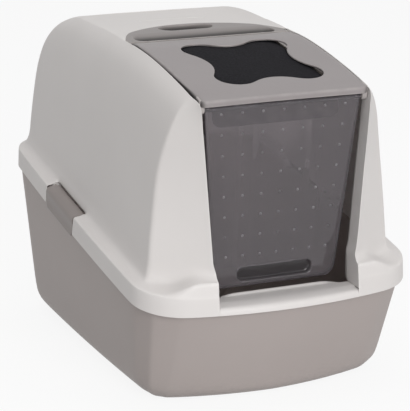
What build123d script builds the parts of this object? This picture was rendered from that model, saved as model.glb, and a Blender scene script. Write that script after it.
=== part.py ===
# Hooded cat litter box: a deep pan, a lift-off hood with a tilted rim, a lid that
# tips up over the doorway, a clear swing door, a carbon filter in a hinged tray
# under the lid, a carry handle let into the roof and a latch on each side.
# Millimetres.  +Z up, -Y is the doorway side, the origin is on the floor at the middle.
from build123d import *
import os
from math import atan, cos, radians, sin, tan

os.makedirs("parts", exist_ok=True)

# ---- driving dimensions -------------------------------------------------------
rim_width = 412.0            # over the skirt of the hood
rim_length = 574.0           # front of the bowed skirt to its rear
rim_bow = 25.0               # how far the front of the skirt bows out past its corners
side_bow = 5.0               # the same for each side
rim_height = 187.0           # lower edge of the skirt at mid-length
rim_slope = 10.0             # degrees, the rim falls towards the doorway
skirt_height = 24.0
skirt_front_radius = 68.0
skirt_rear_radius = 44.0
skirt_top_radius = 5.0

hood_wall = 3.0
crest_height = 466.0         # highest line of the hood, along the top of each side
crest_half_width = 125.0     # from the middle to each crest
foot_half_width = rim_width / 2 - 22   # side wall of the hood where it meets the ledge
crest_rise = 5.0             # crest above the roof, behind the handle
dome_rear = 283.0            # rear wall of the hood at the rim
dome_rear_top = 268.0        # the same at the height of the crest
dome_front = -266.0          # front lips of the two cheeks
rear_corner_cut = 30.0       # bevel of the rear corners
roof_rear_radius = 78.0
ridge_width = 17.0           # from a crest down to the flat of the roof
cheek_crease = -217.0        # where the side turns into the front cheek
cheek_foot_height = 120.0    # the cheeks' lower set of half widths is taken here
lip_foot_half = 101.0        # half width over the cheeks' lips there
crease_foot_half = foot_half_width     # and over their creases
lip_head_half = 126.0        # the same two at the height of the crest
crease_head_half = foot_half_width - 26
doorway_foot_half = 104.0    # half width of the doorway at the sill
sill_height = 150.0
sill_rear = -236.0
sill_ridge_height = 2.6
sill_ridge_half = 78.0
sill_ridge_depth = 6.0
jamb_depth = 27.0
jamb_top = 394.0
shelf_width = 18.0           # ledges that the lid's side rims rest on
shelf_length = 194.0
shelf_setback = 13.0         # from the lid's rear edge
hood_boss_radius = 4.5       # holds the lid's hinge pin
hood_boss_length = 6.5
hinge_pin_end = 128.4        # from the middle, in the hood's boss
seat_rib_places = (-190.0, -70.0, 155.0, 225.0)
seat_rib_length = 12.0

pan_wall = 3.0
pan_gap = 1.2                # between the skirt and the pan wall inside it
pan_rim_rise = 8.0          # how far the pan reaches up inside the skirt
pan_base_half_width = rim_width / 2 - 22.5
pan_base_rear = 271.0
pan_base_corner = -202.0
pan_base_bow = 33.0
pan_base_front_radius = 44.0
pan_base_rear_radius = 32.0
pan_floor_radius = 20.0

lid_half_width = 121.7
lid_length = 244.0
lid_rear = -22.0
lid_rear_height = 458.2
lid_slope = 8.85             # degrees, the lid falls towards the doorway
lid_thickness = 3.0
lid_rim_depth = 9.0
lid_rim_wall = 2.5
lid_corner_radius = 9.0
header_half_width = 92.0     # baffle under the lid, behind the door
header_foot = 378.0          # height of its lower edge
header_place = -229.0        # its rear face
header_radius = 12.0
lid_boss_radius = 5.0
lid_boss_length = 13.0
lug_length = 7.3             # of the lid's lugs for the door
lug_radius = 6.0
side_play = 0.2              # between the lid's lugs and the hood

lobe_radius = 29.0           # four-lobed window over the filter
window_half_width = 79.5
window_half_length = 84.8
waist_half_width = 61.0
waist_half_length = 66.5
window_setback = 115.0       # middle of the window, from the lid's rear edge
window_offset = 5.0          # and to the right of the lid's middle
filter_setback = 110.0       # middle of the filter, from the lid's rear edge

filter_thickness = 6.0
filter_half_width = 87.0
filter_half_length = 94.0
filter_radius = 12.0
tray_wall = 2.0
tray_floor = 2.4
tray_bar = 6.0
tray_cells_across = 4
tray_cells_along = 4
tray_cell_radius = 5.0
tray_hinge_setback = 8.4     # tray hinge axis from the lid's rear edge
tray_hinge_drop = 8.6        # and below its top face
tray_lug_place = 40.0
tray_lug_radius = 3.2
tray_web = 5.7               # joins the tray's wall to its hinge barrel
tray_lug_gap = 1.5
seat_gap = 0.3               # between a seated piece and its seat

hinge_pin_diameter = 5.0
door_pin_diameter = 4.0
tray_pin_diameter = 3.0
latch_pin_diameter = 4.0
running_gap = 0.08           # radial, in every bore that turns on a pin
hinge_setback = 6.0          # lid hinge axis from the lid's rear edge
hinge_drop = 6.2             # and below its top face

door_axis_height = 409.0
door_axis_front = -251.0
door_lean = 5.8              # degrees, the foot of the door hangs inwards
door_drop = 254.0            # hinge axis to lower edge
door_top_half = 113.5
door_foot_half = 90.5
door_thickness = 2.5
door_face = 4.0              # front face of the door, ahead of its hinge axis
door_flange = 6.0
door_corner_radius = 16.0
door_barrel_radius = 4.0
door_head = 3.0              # above the hinge axis
door_pin_grip = 9.0          # of each door pin in the door's barrel
door_pin_end = 117.4         # from the middle, in the lid's lug
bump_radius = 1.5
bump_rise = 0.7
bump_columns = 7
bump_rows = 8
bump_top_pitch = 30.0
bump_foot_pitch = 24.6
bump_row_pitch = 28.6
bump_first_row = 8.0         # below the hinge axis
grip_length = 112.0
grip_height = 21.0
grip_depth = 7.0
grip_centre = door_drop - 18.0         # below the hinge axis
grip_wall = 2.0

handle_gap = 0.5             # between the handle and the roof around it
handle_front = -18.3
handle_side = 20.0           # where the arched rear edge begins
handle_rear = 86.0           # crown of the arch
handle_half_width = 120.5
handle_plate = 3.0
handle_slot_half = 107.0
handle_slot_front = -14.5
handle_slot_rear = 12.0
handle_slot_depth = 30.0
handle_dish_half = 52.0
handle_dish_front = 42.0
handle_dish_rear = 76.0
handle_dish_depth = 14.0
handle_flange = 4.0          # bears up against the roof from inside
handle_flange_thickness = 2.0
handle_seat = 0.9            # flange below the roof's underside
handle_wall = 2.5

latch_length = 112.0
latch_middle = 55.0          # from the box's middle towards the rear
latch_drop = 5.0             # how far it hangs below the skirt
latch_wall = 3.0
latch_axis_half = rim_width / 2 - 15.5
latch_axis_rise = 24.0       # above the lower edge of the skirt
latch_barrel_radius = 4.5
latch_end_gap = 1.0
latch_side_gap = 0.6         # between its barrel and the hood's notch
lug_thickness = 3.0


# ---- places worked out from them -----------------------------------------------
beyond = rim_length / 2 + 13     # past the box on every side
rim_rear = rim_length / 2
rim_corner = rim_bow - rim_length / 2
rim_rise = tan(radians(rim_slope))
lid_rise = tan(radians(lid_slope))
ledge_rise = skirt_height


def rim_at(y):
    """Height of the skirt's lower edge at y."""
    return rim_height + y * rim_rise


def rim_plane(lift):
    """The tilted plane of the rim, lifted straight up."""
    normal = (0, -sin(radians(rim_slope)), cos(radians(rim_slope)))
    return Plane(origin=(0, 0, rim_height + lift), x_dir=(1, 0, 0), z_dir=normal)


def outline(half_width, rear, corner, bow, bulge, rear_radius, front_radius, slope):
    """Plan outline with bowed sides and front, drawn on a plane that slopes."""
    stretch = 1 / cos(radians(slope))
    back = rear * stretch
    front = corner * stretch
    middle = (back + front) / 2
    inner = half_width - bulge
    with BuildSketch(mode=Mode.PRIVATE) as shape:
        with BuildLine():
            Line((-inner, back), (inner, back))
            ThreePointArc((inner, back), (half_width, middle), (inner, front))
            ThreePointArc((inner, front), (0, front - bow * stretch), (-inner, front))
            ThreePointArc((-inner, front), (-half_width, middle), (-inner, back))
        make_face()
        fillet(shape.vertices().group_by(Axis.Y)[-1], rear_radius)
        fillet(shape.vertices().group_by(Axis.Y)[0], front_radius)
    return shape.sketch


def rim_outline(inset):
    """The skirt's outline, drawn in by an inset."""
    return outline(rim_width / 2 - inset, rim_rear - inset, rim_corner + inset, rim_bow,
                   side_bow, skirt_rear_radius - inset, skirt_front_radius - inset, rim_slope)


def base_outline(inset):
    """The pan's floor outline, drawn in by an inset."""
    return outline(pan_base_half_width - inset, pan_base_rear - inset, pan_base_corner + inset,
                   pan_base_bow, side_bow, pan_base_rear_radius - inset,
                   pan_base_front_radius - inset, 0)


# ---- pan -----------------------------------------------------------------------
pan_inset = hood_wall + pan_gap
pan_draft = (rim_width / 2 - pan_inset - pan_base_half_width) / rim_height


def pan_shape(wall):
    """The pan's outer shape, or its hollow when a wall is given."""
    with BuildPart() as shape:
        with BuildSketch(Plane.XY.offset(wall)):
            add(base_outline(wall - wall * pan_draft))
        with BuildSketch(rim_plane(pan_rim_rise)):
            add(rim_outline(pan_inset + wall))
        loft()
        fillet(shape.edges().group_by(Axis.Z)[0], pan_floor_radius - wall)
    return shape.part


pan_hollow = pan_shape(pan_wall)
with BuildPart() as pan:
    add(pan_shape(0))
    add(pan_hollow, mode=Mode.SUBTRACT)
pan.part.label = "pan"
export_step(pan.part, "parts/pan.step")


# ---- hood ----------------------------------------------------------------------
# Ribs across the hood: place along the box, crest height, roof height, foot width.
crest_front = lid_rear_height - (lid_rear + 270) * lid_rise + 1.4
ribs = [
    (-270.0, crest_front, crest_front - 1.5, foot_half_width - 6),
    (-120.0, crest_front + 150 * lid_rise + 1.2, crest_front + 150 * lid_rise - 1, foot_half_width - 2),
    (-20.0, lid_rear_height + 1.8, lid_rear_height - 0.2, foot_half_width),
    (80.0, crest_height - 2.2, crest_height - crest_rise - 0.6, foot_half_width),
    (170.0, crest_height, crest_height - crest_rise, foot_half_width),
    (290.0, crest_height - 3, crest_height - crest_rise - 1, foot_half_width - 1),
]
# How the side wall swells out from the crest to its foot: height share, width share.
swell = [(0.2, 0.93), (0.4, 0.835), (0.6, 0.72), (0.8, 0.53), (0.92, 0.33)]


def dome_shape(wall):
    """The hood's length of ribs, before its rear, corners and cheeks are cut."""
    with BuildPart() as shape:
        for y, crest, roof, foot in ribs:
            foot_x = foot - wall
            foot_z = rim_at(y) + ledge_rise
            low_z = rim_at(y) + ledge_rise / 2 - wall * 4
            top_x = crest_half_width - wall / 2
            top_z = crest - wall * 1.3
            roof_x = top_x - ridge_width
            span_x = foot_x - top_x
            span_z = top_z - foot_z
            side = [(top_x + span_x * wide, foot_z + span_z * high) for high, wide in swell]
            with BuildSketch(Plane.XZ.offset(-y)):
                with BuildLine():
                    Spline((foot_x, foot_z), *side, (top_x, top_z), tangents=((-0.08, 1), (-0.7, 1)))
                    Polyline((top_x, top_z), (roof_x, roof - wall), (-roof_x, roof - wall), (-top_x, top_z))
                    mirrored = [(-x, z) for x, z in reversed(side)]
                    Spline((-top_x, top_z), *mirrored, (-foot_x, foot_z), tangents=((-0.7, -1), (-0.08, -1)))
                    Polyline((-foot_x, foot_z), (-foot_x, low_z), (foot_x, low_z), (foot_x, foot_z))
                make_face()
        loft()
    return shape.part


def plan_shape(wall):
    """What the rear wall, its corners and the slanted cheeks leave of the dome."""
    levels = [
        (cheek_foot_height, lip_foot_half, crease_foot_half, dome_rear + 5,
         dome_rear + foot_half_width - rear_corner_cut),
        (crest_height, lip_head_half, crease_head_half, dome_rear_top,
         dome_rear_top + crest_half_width - 8),
    ]
    with BuildPart() as shape:
        for z, lip, crease, rear, corner in levels:
            wide = foot_half_width + 30
            back = rear - wall
            cut = corner - wall * 1.4
            with BuildSketch(Plane.XY.offset(z)):
                with BuildLine():
                    Polyline((-wide, cut - wide), (back - cut, back), (cut - back, back), (wide, cut - wide),
                             (wide, cheek_crease + 90), (crease - wall, cheek_crease),
                             (lip - wall * 0.6, dome_front + wall), (-lip + wall * 0.6, dome_front + wall),
                             (-crease + wall, cheek_crease), (-wide, cheek_crease + 90), close=True)
                make_face()
        loft(ruled=True)
    return shape.part


def rear_shape(wall):
    """What the round-over from the rear wall to the roof leaves of the dome."""
    top = crest_height + 2 - wall
    rear = dome_rear_top + 3 - wall
    radius = roof_rear_radius - wall
    low = rim_at(dome_front) - skirt_height
    with BuildPart() as shape:
        with BuildSketch(Plane.YZ):
            with BuildLine():
                Line((-beyond, low), (-beyond, top))
                Line((-beyond, top), (rear - radius, top))
                RadiusArc((rear - radius, top), (rear, top - radius), radius)
                Polyline((rear, top - radius), (dome_rear + 20, rim_height), (dome_rear + 20, low),
                         (-beyond, low))
            make_face()
        extrude(amount=foot_half_width + 40, both=True)
    return shape.part


def dome(wall):
    """The hood above its ledge, solid, or its hollow when a wall is given."""
    return dome_shape(wall) & plan_shape(wall) & rear_shape(wall)


skirt_inset = hood_wall
ledge_lift = skirt_height - hood_wall
door_half_rise = (crest_half_width - doorway_foot_half) / (lid_rear_height - 35 - rim_at(dome_front))


def doorway_half(z):
    """Half width of the doorway at a height."""
    return doorway_foot_half + (z - sill_height - 15) * door_half_rise


def lid_top(y):
    """Height of the lid's top face at y."""
    return lid_rear_height + (y - lid_rear) * lid_rise


def lid_plane(drop):
    """The lid's top face, sunk by a drop square to it; its origin is at the rear edge."""
    normal = Vector(0, -sin(radians(lid_slope)), cos(radians(lid_slope)))
    return Plane(origin=Vector(0, lid_rear, lid_rear_height) - normal * drop, x_dir=(1, 0, 0), z_dir=normal)


lid_axis_y = lid_rear - hinge_setback
lid_axis_z = lid_rear_height - hinge_drop - hinge_setback * lid_rise
latch_rear_y = latch_middle + latch_length / 2
latch_front_y = latch_middle - latch_length / 2


def latch_plane(y):
    """A plane square to the rim at y; local Y is up and the extrusion runs forwards."""
    forwards = (0, -cos(radians(rim_slope)), -sin(radians(rim_slope)))
    return Plane(origin=(0, y, rim_at(y)), x_dir=(1, 0, 0), z_dir=forwards)


def handle_outline(inset):
    """The crescent let into the roof, seen from above."""
    half = handle_half_width - inset
    with BuildSketch(mode=Mode.PRIVATE) as shape:
        with BuildLine():
            Polyline((-half, handle_side), (-half, handle_front + inset), (half, handle_front + inset),
                     (half, handle_side))
            ThreePointArc((half, handle_side), (0, handle_rear - inset), (-half, handle_side))
        make_face()
    return shape.sketch


with BuildPart() as hood:
    # skirt and ledge
    with BuildSketch(rim_plane(0)):
        add(rim_outline(0))
    extrude(amount=skirt_height, dir=(0, 0, 1))
    fillet(hood.faces().sort_by(Axis.Z)[-1].edges(), skirt_top_radius)
    add(dome(0))
    # hollow
    with BuildSketch(rim_plane(-1)):
        add(rim_outline(skirt_inset))
    extrude(amount=ledge_lift + 1, dir=(0, 0, 1), mode=Mode.SUBTRACT)
    add(dome(hood_wall), mode=Mode.SUBTRACT)
    # lid bay, open from the hinge line to the doorway, and the handle's crescent
    with BuildSketch(Plane.XY.offset(crest_height - 80)):
        with Locations((0, (dome_front - 20 + handle_front) / 2)):
            Rectangle(crest_half_width * 2, handle_front - dome_front + 20)
        add(handle_outline(0))
    extrude(amount=100, mode=Mode.SUBTRACT)
    # doorway, with its sill sunk below the ledge
    with BuildSketch(Plane.XZ.offset(-sill_rear)):
        with BuildLine():
            Polyline((-doorway_half(sill_height), sill_height), (doorway_half(sill_height), sill_height),
                     (doorway_half(440), 440), (-doorway_half(440), 440), close=True)
        make_face()
    extrude(amount=70, mode=Mode.SUBTRACT)
    # sill between the jambs, its ridge, and the cheeks of the sunk part
    with BuildSketch(Plane.XY.offset(sill_height - hood_wall)):
        add(outline(rim_width / 2 - 1, rim_rear, rim_corner + 1, rim_bow, side_bow, 40, 60, 0))
        with Locations((0, sill_rear - 50)):
            Rectangle(2 * doorway_foot_half + 2 * hood_wall, 100, mode=Mode.INTERSECT)
    extrude(amount=hood_wall)
    with BuildSketch(Plane.XY.offset(sill_height)):
        with Locations((0, sill_rear - 4)):
            RectangleRounded(2 * sill_ridge_half, sill_ridge_depth, sill_ridge_depth / 2 - 0.5)
    extrude(amount=sill_ridge_height)
    for side in (-1, 1):
        with BuildSketch(Plane.YZ.offset(side * (doorway_foot_half + hood_wall / 2 - 0.5))):
            with BuildLine():
                skirt_inside = rim_bow / 2 + rim_corner - rim_bow + 6
                Polyline((skirt_inside, sill_height - hood_wall), (sill_rear, sill_height - hood_wall),
                         (sill_rear, rim_at(sill_rear) + ledge_lift + 1),
                         (skirt_inside, rim_at(skirt_inside) + ledge_lift + 1), close=True)
            make_face()
        extrude(amount=hood_wall / 2, both=True)
        # jamb along the cheek's lip
        foot_x = doorway_half(sill_height)
        head_x = doorway_half(jamb_top)
        with BuildSketch(Plane.XZ.offset(-sill_rear)):
            with BuildLine():
                Polyline((side * foot_x, sill_height - hood_wall), (side * head_x, jamb_top),
                         (side * (head_x + hood_wall), jamb_top),
                         (side * (foot_x + hood_wall), sill_height - hood_wall), close=True)
            make_face()
        extrude(amount=jamb_depth)
        # shelf under the lid's side rim
        with BuildSketch(lid_plane(lid_rim_depth + seat_gap)):
            with Locations((side * (crest_half_width - 2), -shelf_length / 2 - shelf_setback)):
                Rectangle(shelf_width, shelf_length)
        extrude(amount=-lid_rim_wall)
        # boss for the lid's hinge pin, just inside the crest
        with BuildSketch(Plane.YZ.offset(side * (lid_half_width + 1.3))):
            with Locations((lid_axis_y, lid_axis_z)):
                Circle(hood_boss_radius)
        extrude(amount=side * (hood_boss_length))
        with BuildSketch(Plane.YZ.offset(side * lid_half_width)):
            with Locations((lid_axis_y, lid_axis_z)):
                Circle(hinge_pin_diameter / 2 + running_gap)
        extrude(amount=side * (hinge_pin_end - lid_half_width + 0.4), mode=Mode.SUBTRACT)
        # notch for the latch, with a lug at each end for its pin
        with BuildSketch(latch_plane(latch_rear_y + latch_end_gap)):
            with Locations((side * (latch_axis_half - latch_barrel_radius - latch_side_gap + 20), 15)):
                Rectangle(40, 50)
        extrude(amount=latch_length / cos(radians(rim_slope)) + 2 * latch_end_gap, mode=Mode.SUBTRACT)
        for y in (latch_rear_y + latch_end_gap + lug_thickness, latch_front_y - latch_end_gap):
            with BuildSketch(latch_plane(y)):
                with BuildLine():
                    Polyline((side * (foot_half_width - 1.5), 13), (side * (rim_width / 2 - 2), 13),
                             (side * (rim_width / 2 - 2), 17), (side * (rim_width / 2 - 7), 22),
                             (side * (foot_half_width - 1.5), 22), close=True)
                make_face()
                with Locations((side * latch_axis_half, latch_axis_rise)):
                    Circle(latch_barrel_radius)
            extrude(amount=lug_thickness)
        with BuildSketch(latch_plane(latch_rear_y + latch_end_gap + lug_thickness)):
            with Locations((side * latch_axis_half, latch_axis_rise)):
                Circle(latch_pin_diameter / 2)
        extrude(amount=latch_length / cos(radians(rim_slope)) + 2 * (latch_end_gap + lug_thickness),
                mode=Mode.SUBTRACT)
    # ribs under the ledge that stand on the pan's rim
    with BuildSketch(rim_plane(pan_rim_rise)):
        for y in seat_rib_places:
            with Locations((rim_width / 2 - 10, y), (10 - rim_width / 2, y)):
                Rectangle(seat_rib_length, hood_wall)
        with Locations((-80, rim_rear - 8), (80, rim_rear - 8)):
            Rectangle(hood_wall, seat_rib_length)
    extrude(amount=ledge_lift - pan_rim_rise + 1, dir=(0, 0, 1))
hood.part.label = "hood"
export_step(hood.part, "parts/hood.step")


# ---- lid -------------------------------------------------------------------------
def window_outline():
    """The four-lobed window, its lobes joined by hollow arcs tangent to them."""
    lobe = Vector(window_half_width - lobe_radius, window_half_length - lobe_radius)
    reach_x = waist_half_width - lobe.X
    reach_y = waist_half_length - lobe.Y
    side_radius = (reach_x ** 2 + lobe.Y ** 2 - lobe_radius ** 2) / (2 * (lobe_radius - reach_x))
    end_radius = (reach_y ** 2 + lobe.X ** 2 - lobe_radius ** 2) / (2 * (lobe_radius - reach_y))
    side_touch = lobe + (Vector(waist_half_width + side_radius, 0) - lobe).normalized() * lobe_radius
    end_touch = lobe + (Vector(0, waist_half_length + end_radius) - lobe).normalized() * lobe_radius
    tip = lobe + Vector(1, 1).normalized() * lobe_radius
    with BuildSketch(mode=Mode.PRIVATE) as shape:
        with BuildLine():
            for x, y in ((1, 1), (-1, 1), (-1, -1), (1, -1)):
                ThreePointArc((x * side_touch.X, y * side_touch.Y), (x * tip.X, y * tip.Y),
                              (x * end_touch.X, y * end_touch.Y))
            for x in (-1, 1):
                ThreePointArc((x * side_touch.X, side_touch.Y), (x * waist_half_width, 0),
                              (x * side_touch.X, -side_touch.Y))
                ThreePointArc((end_touch.X, x * end_touch.Y), (0, x * waist_half_length),
                              (-end_touch.X, x * end_touch.Y))
        make_face()
    return shape.sketch


def lid_outline():
    with BuildSketch(mode=Mode.PRIVATE) as shape:
        with Locations((0, -lid_length / 2)):
            Rectangle(2 * lid_half_width, lid_length)
        fillet(shape.vertices().group_by(Axis.Y)[0], lid_corner_radius)
    return shape.sketch


tray_axis_y = lid_rear - tray_hinge_setback * cos(radians(lid_slope))
tray_axis_z = lid_top(tray_axis_y) - tray_hinge_drop

with BuildPart() as front_lid:
    with BuildSketch(lid_plane(0)):
        add(lid_outline())
        with Locations((window_offset, -window_setback)):
            add(window_outline(), mode=Mode.SUBTRACT)
    extrude(amount=-lid_thickness)
    with BuildSketch(lid_plane(lid_thickness)):
        add(lid_outline())
        offset(amount=-lid_rim_wall, mode=Mode.SUBTRACT)
    extrude(amount=lid_thickness - lid_rim_depth)
    # baffle behind the door
    with BuildSketch(Plane.XZ.offset(-header_place)) as header:
        with BuildLine():
            head = lid_top(header_place - lid_rim_wall) - lid_thickness / 2
            Polyline((-header_half_width, head), (-header_half_width, header_foot),
                     (header_half_width, header_foot), (header_half_width, head), close=True)
        make_face()
        fillet(header.vertices().group_by(Axis.Y)[0], header_radius)
    extrude(amount=lid_rim_wall)
    for side in (-1, 1):
        # lug that carries the door, at each front corner
        with BuildSketch(Plane.YZ.offset(side * (lid_half_width - lug_length))):
            with Locations((door_axis_front, door_axis_height)):
                Circle(lug_radius)
                with Locations((0, 5)):
                    Rectangle(2 * lug_radius, 10)
                Circle(door_pin_diameter / 2 + running_gap, mode=Mode.SUBTRACT)
        extrude(amount=side * (lug_length - side_play))
        # boss for the lid's own hinge pin
        with BuildSketch(Plane.YZ.offset(side * (lid_half_width - lid_boss_length))):
            with Locations((lid_axis_y, lid_axis_z)):
                Circle(lid_boss_radius)
        extrude(amount=side * (lid_boss_length - 1))
        with BuildSketch(Plane.YZ.offset(side * (lid_half_width - lid_boss_length - 1))):
            with Locations((lid_axis_y, lid_axis_z)):
                Circle(hinge_pin_diameter / 2)
        extrude(amount=side * (lid_boss_length + 2), mode=Mode.SUBTRACT)
        # lug for the filter tray's pin
        with BuildSketch(Plane.YZ.offset(side * tray_lug_place)):
            with Locations((tray_axis_y, tray_axis_z)):
                Circle(tray_lug_radius)
                with Locations((0, tray_lug_radius)):
                    Rectangle(2 * tray_lug_radius, 2 * tray_lug_radius)
                Circle(tray_pin_diameter / 2, mode=Mode.SUBTRACT)
        extrude(amount=side * lug_thickness)
front_lid.part.label = "front_lid"
export_step(front_lid.part, "parts/front_lid.step")


# ---- filter and its tray -----------------------------------------------------------
with BuildPart() as filter_pad:
    with BuildSketch(lid_plane(lid_thickness + seat_gap)):
        with Locations((0, -filter_setback)):
            RectangleRounded(2 * filter_half_width, 2 * filter_half_length, filter_radius)
    extrude(amount=-filter_thickness)
filter_pad.part.label = "filter_pad"
export_step(filter_pad.part, "parts/filter_pad.step")

tray_top = lid_thickness + 2 * seat_gap
tray_seat = lid_thickness + 2 * seat_gap + filter_thickness
tray_half_width = filter_half_width + seat_gap + tray_wall
tray_half_length = filter_half_length + seat_gap + tray_wall
cell_width = (2 * tray_half_width - tray_bar) / tray_cells_across
cell_length = (2 * tray_half_length - tray_bar) / tray_cells_along

with BuildPart() as filter_tray:
    with BuildSketch(lid_plane(tray_top)):
        with Locations((0, -filter_setback)):
            RectangleRounded(2 * tray_half_width, 2 * tray_half_length, filter_radius + tray_wall)
            RectangleRounded(2 * (tray_half_width - tray_wall), 2 * (tray_half_length - tray_wall),
                             filter_radius, mode=Mode.SUBTRACT)
    extrude(amount=tray_top - tray_seat)
    with BuildSketch(lid_plane(tray_seat)):
        with Locations((0, -filter_setback)):
            RectangleRounded(2 * tray_half_width, 2 * tray_half_length, filter_radius + tray_wall)
            with GridLocations(cell_width, cell_length, tray_cells_across, tray_cells_along):
                RectangleRounded(cell_width - tray_bar, cell_length - tray_bar, tray_cell_radius,
                                 mode=Mode.SUBTRACT)
    extrude(amount=-tray_floor)
    with BuildSketch(Plane.YZ):
        with Locations((tray_axis_y, tray_axis_z)):
            Circle(tray_lug_radius)
            with Locations((-tray_web / 2, 0)):
                Rectangle(tray_web, tray_floor)
    extrude(amount=tray_lug_place - tray_lug_gap, both=True)
    with BuildSketch(Plane.YZ):
        with Locations((tray_axis_y, tray_axis_z)):
            Circle(tray_pin_diameter / 2 + running_gap)
    extrude(amount=tray_lug_place, both=True, mode=Mode.SUBTRACT)
filter_tray.part.label = "filter_tray"
export_step(filter_tray.part, "parts/filter_tray.step")

with BuildPart() as tray_hinge_pin:
    with BuildSketch(Plane.YZ):
        with Locations((tray_axis_y, tray_axis_z)):
            Circle(tray_pin_diameter / 2)
    extrude(amount=tray_lug_place + lug_thickness + 1, both=True)
tray_hinge_pin.part.label = "tray_hinge_pin"
export_step(tray_hinge_pin.part, "parts/tray_hinge_pin.step")


# ---- door ------------------------------------------------------------------------
# Local X runs across, local Y up along the door and the normal points out of the box.
lean = radians(door_lean)
door_plane = Plane(origin=(0, door_axis_front, door_axis_height), x_dir=(1, 0, 0),
                   z_dir=(0, -cos(lean), -sin(lean)))
door_back = door_face - door_thickness


def door_outline():
    with BuildSketch(mode=Mode.PRIVATE) as shape:
        with BuildLine():
            Polyline((-door_top_half, door_head), (door_top_half, door_head), (door_foot_half, -door_drop),
                     (-door_foot_half, -door_drop), close=True)
        make_face()
        fillet(shape.vertices().group_by(Axis.Y)[0], door_corner_radius)
    return shape.sketch


with BuildPart() as door:
    with BuildSketch(door_plane.offset(door_back)):
        add(door_outline())
    extrude(amount=door_thickness)
    with BuildSketch(door_plane.offset(door_back)):
        add(door_outline())
        offset(amount=-door_thickness, mode=Mode.SUBTRACT)
        with Locations((0, -door_drop / 2 - door_barrel_radius)):
            Rectangle(3 * door_top_half, door_drop, mode=Mode.INTERSECT)
    extrude(amount=-door_flange)
    # barrel along the head, bored for the pins
    with BuildSketch(Plane.YZ):
        with Locations((door_axis_front, door_axis_height)):
            Circle(door_barrel_radius)
    extrude(amount=door_top_half, both=True)
    for side in (-1, 1):
        with BuildSketch(Plane.YZ.offset(side * (door_top_half + 1))):
            with Locations((door_axis_front, door_axis_height)):
                Circle(door_pin_diameter / 2)
        extrude(amount=-side * (door_pin_grip + 1), mode=Mode.SUBTRACT)
    # finger grip
    with BuildSketch(door_plane.offset(door_face)):
        with Locations((0, -grip_centre)):
            SlotOverall(grip_length, grip_height)
    extrude(amount=-door_thickness, mode=Mode.SUBTRACT)
    with BuildSketch(door_plane.offset(door_back)):
        with Locations((0, -grip_centre)):
            SlotOverall(grip_length + 2 * grip_wall, grip_height + 2 * grip_wall)
            SlotOverall(grip_length, grip_height, mode=Mode.SUBTRACT)
    extrude(amount=door_thickness - grip_depth)
    with BuildSketch(door_plane.offset(door_face - grip_depth)):
        with Locations((0, -grip_centre)):
            SlotOverall(grip_length + 2 * grip_wall, grip_height + 2 * grip_wall)
    extrude(amount=-grip_wall)
    # rows of small bumps
    with BuildSketch(door_plane.offset(door_face)):
        for row in range(bump_rows):
            share = row / (bump_rows - 1)
            pitch = bump_top_pitch + (bump_foot_pitch - bump_top_pitch) * share
            with Locations((0, -bump_first_row - row * bump_row_pitch)):
                with GridLocations(pitch, 1, bump_columns, 1):
                    Circle(bump_radius)
    extrude(amount=bump_rise)
door.part.label = "door"
export_step(door.part, "parts/door.step")


# ---- carry handle -------------------------------------------------------------------
handle_tilt = atan((crest_height - crest_rise - 0.6 - lid_rear_height + 0.2) / 100)


def handle_plane(drop):
    """The handle's top face, sunk by a drop; its origin is over the lid's rear edge."""
    normal = Vector(0, -sin(handle_tilt), cos(handle_tilt))
    place = Vector(0, 0, lid_rear_height - 0.2 + 20 * tan(handle_tilt))
    return Plane(origin=place - normal * drop, x_dir=(1, 0, 0), z_dir=normal)


def slot_outline(grow):
    """The finger slot ahead of the grip bar."""
    with BuildSketch(mode=Mode.PRIVATE) as shape:
        with Locations((0, (handle_slot_front + handle_slot_rear) / 2)):
            long = 2 * (handle_slot_half + grow)
            wide = handle_slot_rear - handle_slot_front + 2 * grow
            RectangleRounded(long, wide, wide / 2 - 0.5)
    return shape.sketch


def dish_outline(grow):
    """The thumb dish behind the grip bar."""
    with BuildSketch(mode=Mode.PRIVATE) as shape:
        with Locations((0, (handle_dish_front + handle_dish_rear) / 2)):
            Ellipse(handle_dish_half + grow, (handle_dish_rear - handle_dish_front) / 2 + grow)
    return shape.sketch


with BuildPart() as carry_handle:
    with BuildSketch(handle_plane(0)):
        add(handle_outline(handle_gap))
    extrude(amount=-handle_plate)
    # flange that bears up against the roof from inside
    with BuildSketch(handle_plane(handle_plate)):
        add(handle_outline(handle_gap))
    extrude(amount=-handle_seat)
    with BuildSketch(handle_plane(handle_plate + handle_seat)):
        add(handle_outline(-handle_flange))
        with Locations((0, handle_rear / 2 + handle_side)):
            Rectangle(2 * handle_half_width - 20, handle_rear, mode=Mode.INTERSECT)
    extrude(amount=-handle_flange_thickness)
    with BuildSketch(handle_plane(handle_plate)):
        add(slot_outline(handle_wall))
    extrude(amount=handle_plate - handle_slot_depth)
    with BuildSketch(handle_plane(handle_plate)):
        add(dish_outline(handle_wall))
    extrude(amount=handle_plate - handle_dish_depth)
    with BuildSketch(handle_plane(0)):
        add(slot_outline(0))
    extrude(amount=handle_wall - handle_slot_depth, mode=Mode.SUBTRACT)
    with BuildSketch(handle_plane(0)):
        add(dish_outline(0))
    extrude(amount=handle_wall - handle_dish_depth, mode=Mode.SUBTRACT)
carry_handle.part.label = "carry_handle"
export_step(carry_handle.part, "parts/carry_handle.step")


# ---- latches ------------------------------------------------------------------------
latch_run = latch_length / cos(radians(rim_slope))
latch_face = rim_width / 2 + 0.2

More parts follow.
